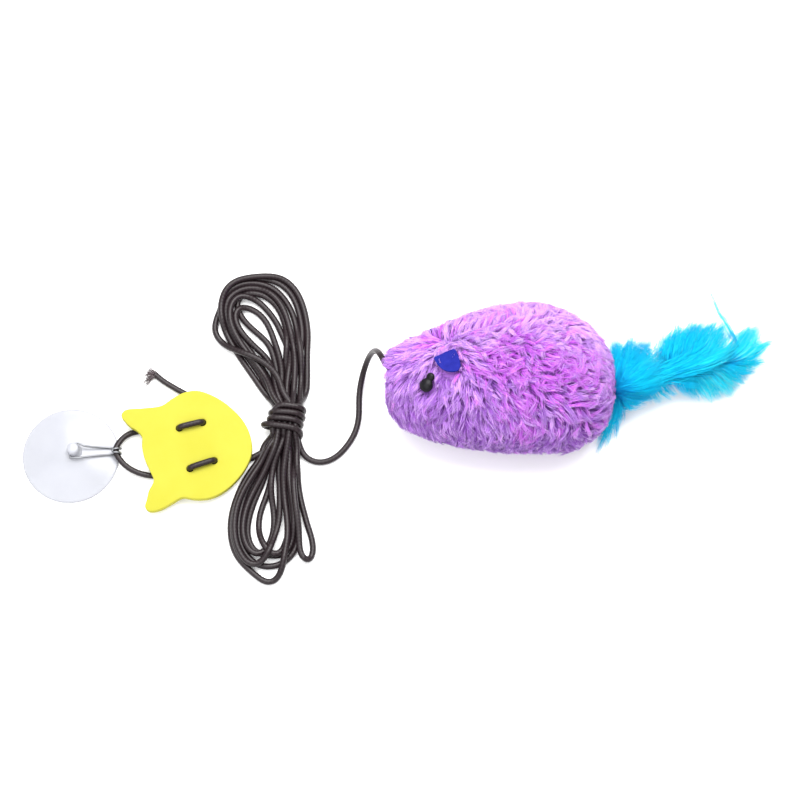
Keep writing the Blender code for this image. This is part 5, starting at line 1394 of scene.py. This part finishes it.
LONG_LOCKS = [
    [(109, 8, 14), (109, 16.5, 15), (111, 26.5, 12)],
    [(109.5, 8, 14), (111, 16.5, 15), (113.5, 27, 12)],
    [(111, 8.5, 14), (112.5, 17.5, 15), (116, 28.5, 12)],
    [(112, 9, 14), (114.5, 18, 15), (119, 29.5, 12)],
    [(113.5, 9, 14), (117, 19, 15), (122, 30.5, 12)],
    [(115.5, 9.5, 14), (119, 19.5, 15), (125, 31, 12)],
    [(117, 9.5, 14), (121, 20, 15), (127.5, 32, 12)],
    [(119, 10, 14), (123.5, 20, 15), (130, 31.5, 12)],
    [(121, 10.5, 14), (125.5, 20, 15), (132.5, 31.5, 11)],
    [(123.5, 11, 13.5), (128, 20.5, 14), (135, 30, 11)],
    [(125.5, 11.5, 13), (131, 20.5, 13), (137, 28, 10)],
    [(140.5, 19, 12), (136, 28, 13), (132.5, 33.5, 14), (127.6, 48, 14)],
    [(139, 20.5, 12), (134.5, 28.5, 13.5), (130, 41, 13.5)],
    [(128.5, 13, 12), (133, 20.5, 12), (139.5, 29, 9)],
    [(130.5, 13, 12), (135.5, 19.5, 11.5), (142, 28.5, 9)],
    [(133, 13, 12), (138, 19, 11), (144, 28.5, 8)],
    [(135, 13.5, 11.5), (140.5, 20.5, 10.5), (146, 30, 8)],
    [(135.5, 13.5, 11), (142, 20, 10), (147.5, 30.5, 8)],
    [(136.5, 13.5, 11), (143, 19.5, 9.5), (150, 29.5, 7)],
    [(137, 13.5, 11), (143, 18, 9), (150.5, 26, 7)],
    [(138, 14, 10.5), (146, 18, 8.5), (157, 25.5, 5.5)],
    [(138, 14, 10.5), (146, 17, 8), (154, 22.5, 5.5)],
    [(137.5, 13.5, 10.5), (144.5, 16.5, 8), (151, 19, 5.5)],
    [(136, 13, 10.5), (144.5, 14, 8), (153, 15, 5)],
    [(135.5, 12.5, 10.5), (142.5, 12.5, 8), (149.5, 14, 5)],
    [(134, 12, 11), (141.5, 10.5, 8), (148.5, 10.5, 5)],
    [(132.5, 12, 11), (139.5, 10, 8), (145.5, 7.5, 5)],
    [(130, 11.5, 11.5), (137, 8.5, 8.5), (143.5, 5, 4.5)],
    [(128, 10.5, 12), (134.5, 7, 9), (141, 3, 4.5)],
    [(125.5, 10.5, 12), (132, 6, 9), (137.5, 1, 4.5)],
    [(123, 10, 12), (128.5, 5, 9), (133.5, -0.5, 4.5)],
    [(120.5, 9.5, 12), (125.5, 4.5, 9), (130, -1, 5)],
    [(118.5, 9, 12.5), (122, 4, 9.5), (126, -1, 5)],
    [(116.5, 8.5, 13), (119, 4, 10), (122.5, -0.5, 6)],
    [(114, 7.5, 13), (116.5, 4, 10), (119, 0.5, 7)],
    [(108, 4.5, 14.5), (110.5, 1.5, 11), (115, -1, 8)],
    [(105, 3.5, 15), (107.5, 0.5, 11), (111.5, -2.5, 8)],
    [(102.5, 2.5, 15.5), (104.5, -0.5, 11.5), (108, -4, 8)],
    [(100, 2, 16), (101.5, -1.5, 12), (104, -4.5, 9)],
    [(86.5, -2, 24), (91.5, -0.5, 23.5), (100.5, 3, 18.5), (112, 7.5, 16), (123.5, 12, 15)],
    [(99.5, 3.5, 17.5), (110, 8, 16.5), (121.5, 13.5, 15.5), (131, 20, 13)],
    [(107, 5.5, 16), (117, 10.5, 16.5), (126, 17, 15.5), (131.5, 24, 13)],
    [(109, 5.5, 16), (120, 10, 16), (129, 13, 14.5), (139, 15.5, 11)],
    [(112, 6.5, 15), (119.5, 9.5, 15), (127, 10.5, 13.5), (135, 9, 10)],
    [(96.5, 1.5, 18), (105, 5, 16), (113.5, 7, 14), (122, 7, 12)],
    [(115, 7.5, 15.5), (123.5, 11, 15.5), (132, 15.5, 14), (141.5, 21.5, 10.5)],
    [(105, 5, 16), (113, 5.5, 14), (121.5, 4.5, 11.5), (130, 3.5, 8)],
]  # fmt: skip
LOW_LOCKS = [
    [(88.5, -1.5, 17), (87, -7, 11), (83.5, -18, 3.5)],
    [(88.5, -2, 17), (87.5, -8, 10), (82, -22, 2)],
    [(89, -2.5, 17), (88.5, -7.5, 11), (87.5, -14.5, 5)],
    [(89.5, -2.5, 17), (90.5, -5.5, 11.5), (91.5, -11.5, 6)],
    [(89.5, -2.5, 17), (89.5, -7.5, 10.5), (89.5, -18, 3.5)],
    [(89, -2, 16.5), (87.5, -8.5, 9.5), (84.5, -20.5, 2.5)],
    [(89, -2, 17), (89, -4.5, 13), (89.5, -9, 9)],
]  # fmt: skip


def barbs(locks, per_lock, seed, wide=1.0, joints=7, sparse=None):
    """Fine barbs in locks. Returns their lines in mm, radii in metres and palette places."""
    r = np.random.default_rng(seed)
    all_lines, all_radii, all_shades = [], [], []
    for number, lock in enumerate(locks):
        p = np.array(lock, float)
        p[-1] += r.uniform(-0.05, 0.27) * (p[-1] - p[-2]) + r.normal(0, 0.45, 3) * np.array([1, 1, 0.4])
        length = np.linalg.norm(np.diff(p, axis=0), axis=1).sum()
        share, narrow = (sparse or {}).get(number, (1.0, 1.0))
        count = int(per_lock * share * np.clip(length / 20, 0.45, 1.5))
        dense = curve_through(p, 0.25)
        s = np.linspace(0, 1, len(dense))
        t0 = r.uniform(0, 0.34, count) ** 1.5
        t1 = r.uniform(0.70, 1.0, count)
        t = t0[:, None] + (t1 - t0)[:, None] * np.linspace(0, 1, joints)[None]
        line = np.stack([np.interp(t, s, dense[:, k]) for k in range(3)], -1)
        tangent = dense[-1] - dense[0]
        tangent /= np.linalg.norm(tangent)
        flat = np.cross(tangent, [0, 0, 1.0])
        flat /= max(np.linalg.norm(flat), 1e-6)
        up = np.cross(flat, tangent)
        a, b = r.normal(0, 1, count), r.normal(0, 1, count)
        swell = (0.45 + 1.5 * np.sin(np.pi * np.clip(t, 0, 1) ** 0.9) - 0.25 * t) * wide * narrow
        tip_curl = r.normal(0, 1.25, count) * narrow
        line += flat * (a[:, None] * swell * 0.95 + tip_curl[:, None] * (t**3))[..., None]
        line += up * (b[:, None] * swell * 0.62)[..., None]
        wave = np.sin(t * r.uniform(5, 12, (count, 1)) + r.uniform(0, 6.3, (count, 1))) * 0.34 * t
        line += flat * (wave * r.normal(0, 1, (count, 1)))[..., None] + up * (wave * r.normal(0, 0.8, (count, 1)))[..., None]
        line[..., 2] = np.maximum(line[..., 2], 0.3)
        thin = np.linspace(1, 0.32, joints)[None] * r.uniform(0.7, 1.25, (count, 1)) * 0.105 * MM
        # barbs that lie higher in the lock get a lighter tone and lower ones a darker: painted light and painted shade
        lock_tone = 0.60 + 0.09 * r.normal() + 0.12 * r.normal(size=count) + 0.06 * (b > 0.4) - 0.10 * (b < -0.6)
        lock_tone -= 0.17 * math.exp(-(((p[0, 0] - 90) / 6) ** 2)) * (1 - 0.8 * t0)
        lock_tone += 0.13 * np.clip((p[:, 0].mean() - 124) / 8, 0, 1) + (0.20 if share < 0.35 else 0)
        all_lines.append(line)
        all_radii.append(thin)
        all_shades.append(np.clip(lock_tone, 0, 1))
    return np.concatenate(all_lines), np.concatenate(all_radii), np.concatenate(all_shades)


FEATHER = Nodes("feather_barb")
FEATHER.set(Roughness=0.6, Specular_IOR_Level=0.08)
u, v, uv = FEATHER.uv("OFBake")
hue = FEATHER.ramp(
    v,
    [
        (0.00, (0.002, 0.190, 0.660)), (0.22, (0.002, 0.350, 0.760)), (0.45, (0.003, 0.540, 0.830)), (0.68, (0.006, 0.640, 0.860)),
        (0.88, (0.030, 0.720, 0.860)), (1.00, (0.200, 0.820, 0.880)),
    ],
)  # fmt: skip
# each barb is painted darker at its root, deep in the lock, and paler towards its tip: painted shade and painted light
# on its blue
pale = FEATHER.mix(0.18, hue, (0.20, 0.80, 0.86), "MIX")
deep = FEATHER.mix(0.68, hue, (0.002, 0.190, 0.640), "MIX")
hue1 = FEATHER.mix(FEATHER.math("MULTIPLY", u, 3.2, clamp=True), deep, hue)
hue2 = FEATHER.mix(FEATHER.math("MULTIPLY", FEATHER.math("SUBTRACT", u, 0.6), 2.0, clamp=True), hue1, pale)
FEATHER.link(hue2, "Base Color")

# locks with fewer barbs, or narrower ones: number in the list, share of the barbs, share of the width
SPARSE = {
    "marabou_long": {
        11: (0.12, 0.30), 12: (0.07, 0.32), 13: (0.26, 0.8), 14: (0.22, 0.8), 15: (0.24, 0.8), 20: (0.7, 0.5), 21: (0.5, 0.45),
        22: (0.5, 0.5), 23: (0.7, 0.5), 24: (0.6, 0.5), 25: (0.6, 0.5), 35: (0.5, 0.5), 36: (0.5, 0.5), 37: (0.5, 0.5), 38: (0.5, 0.5),
    },
    "marabou_low_fluff": {1: (0.6, 0.6), 4: (0.5, 0.6)},
}  # fmt: skip
for name, locks, per_lock, seed, body, node, wide in (
    ("marabou_front", FRONT_LOCKS, 150, 31, "tail", "tail_plume_front", 1.0),
    ("marabou_long", LONG_LOCKS, 126, 32, "tail", "tail_plume_long", 1.05),
    ("marabou_low_fluff", LOW_LOCKS, 76, 33, "root", "tail_fluff_low", 0.7),
):
    line, radii, shades = barbs(locks, per_lock, seed, wide, sparse=SPARSE.get(name))
    flat = grid(line.reshape(-1, 3)).reshape(len(line), -1, 3)
    feather = strands(name, flat, radii, shades, FEATHER.mat)
    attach(feather, body)
    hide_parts(node)

# ---------------------------------------------------------------- what is inside, and the tail's root
def finish_node(nodes, name, colours, roughness=0.6, metallic=0.0, scale=300.0, height=0.00005, **more):
    """Gives carried-over nodes a procedural finish of their own."""
    k = Nodes(name)
    k.set(Roughness=roughness, Metallic=metallic, **more)
    pattern = k.noise(k.place(), scale, 4.0, 0.6)
    k.link(k.ramp(pattern, [(0.3, colours[0]), (0.7, colours[1])]), "Base Color")
    k.bump(pattern, 0.5, height)
    for node in nodes:
        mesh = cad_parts[node].data
        mesh.materials.clear()
        mesh.materials.append(k.mat)


finish_node(["stuffing_upper", "stuffing_lower"], "polyester_fill", ((0.72, 0.72, 0.74), (0.90, 0.90, 0.91)), 0.95, scale=260, height=0.001, Sheen_Weight=0.4)
finish_node(["module_case_base", "module_case_lid"], "white_abs", ((0.74, 0.74, 0.72), (0.80, 0.80, 0.78)), 0.42, scale=700)
finish_node(["circuit_board"], "green_board", ((0.012, 0.11, 0.045), (0.02, 0.16, 0.07)), 0.45, scale=900)
finish_node(["chip_blob"], "black_epoxy", ((0.008, 0.008, 0.009), (0.02, 0.02, 0.022)), 0.3, scale=500)
finish_node(["button_cell_1", "button_cell_2", "button_cell_3"], "cell_steel", ((0.56, 0.56, 0.57), (0.70, 0.70, 0.71)), 0.28, 1.0, 1200)
finish_node(["cell_contact_lower", "cell_contact_upper", "piezo_disc"], "brass", ((0.55, 0.38, 0.13), (0.72, 0.53, 0.22)), 0.34, 1.0, 1000)
finish_node(["switch_can", "switch_plug"], "dark_plastic", ((0.03, 0.03, 0.032), (0.05, 0.05, 0.053)), 0.5, scale=800)
finish_node(["switch_ball"], "ball_steel", ((0.60, 0.60, 0.61), (0.76, 0.76, 0.77)), 0.2, 1.0, 900)
finish_node(["piezo_wire_red"], "red_wire", ((0.42, 0.01, 0.01), (0.55, 0.02, 0.02)), 0.45, scale=800)
finish_node(["piezo_wire_black"], "black_wire", ((0.010, 0.010, 0.010), (0.022, 0.022, 0.022)), 0.45, scale=800)

thread = Nodes("wound_thread")
thread.set(Roughness=0.7, Sheen_Weight=0.2)
turns = thread.add("ShaderNodeTexWave", in_Vector=thread.place(), in_Scale=420.0, in_Distortion=1.2, in_Detail=2.0).outputs["Fac"]
thread.link(thread.ramp(turns, [(0.1, (0.004, 0.10, 0.42)), (0.8, (0.02, 0.30, 0.80))]), "Base Color")
thread.bump(turns, 0.8, 0.0002)
for node in ("tail_binding", "tail_root_stub"):
    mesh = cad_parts[node].data
    mesh.materials.clear()
    mesh.materials.append(thread.mat)
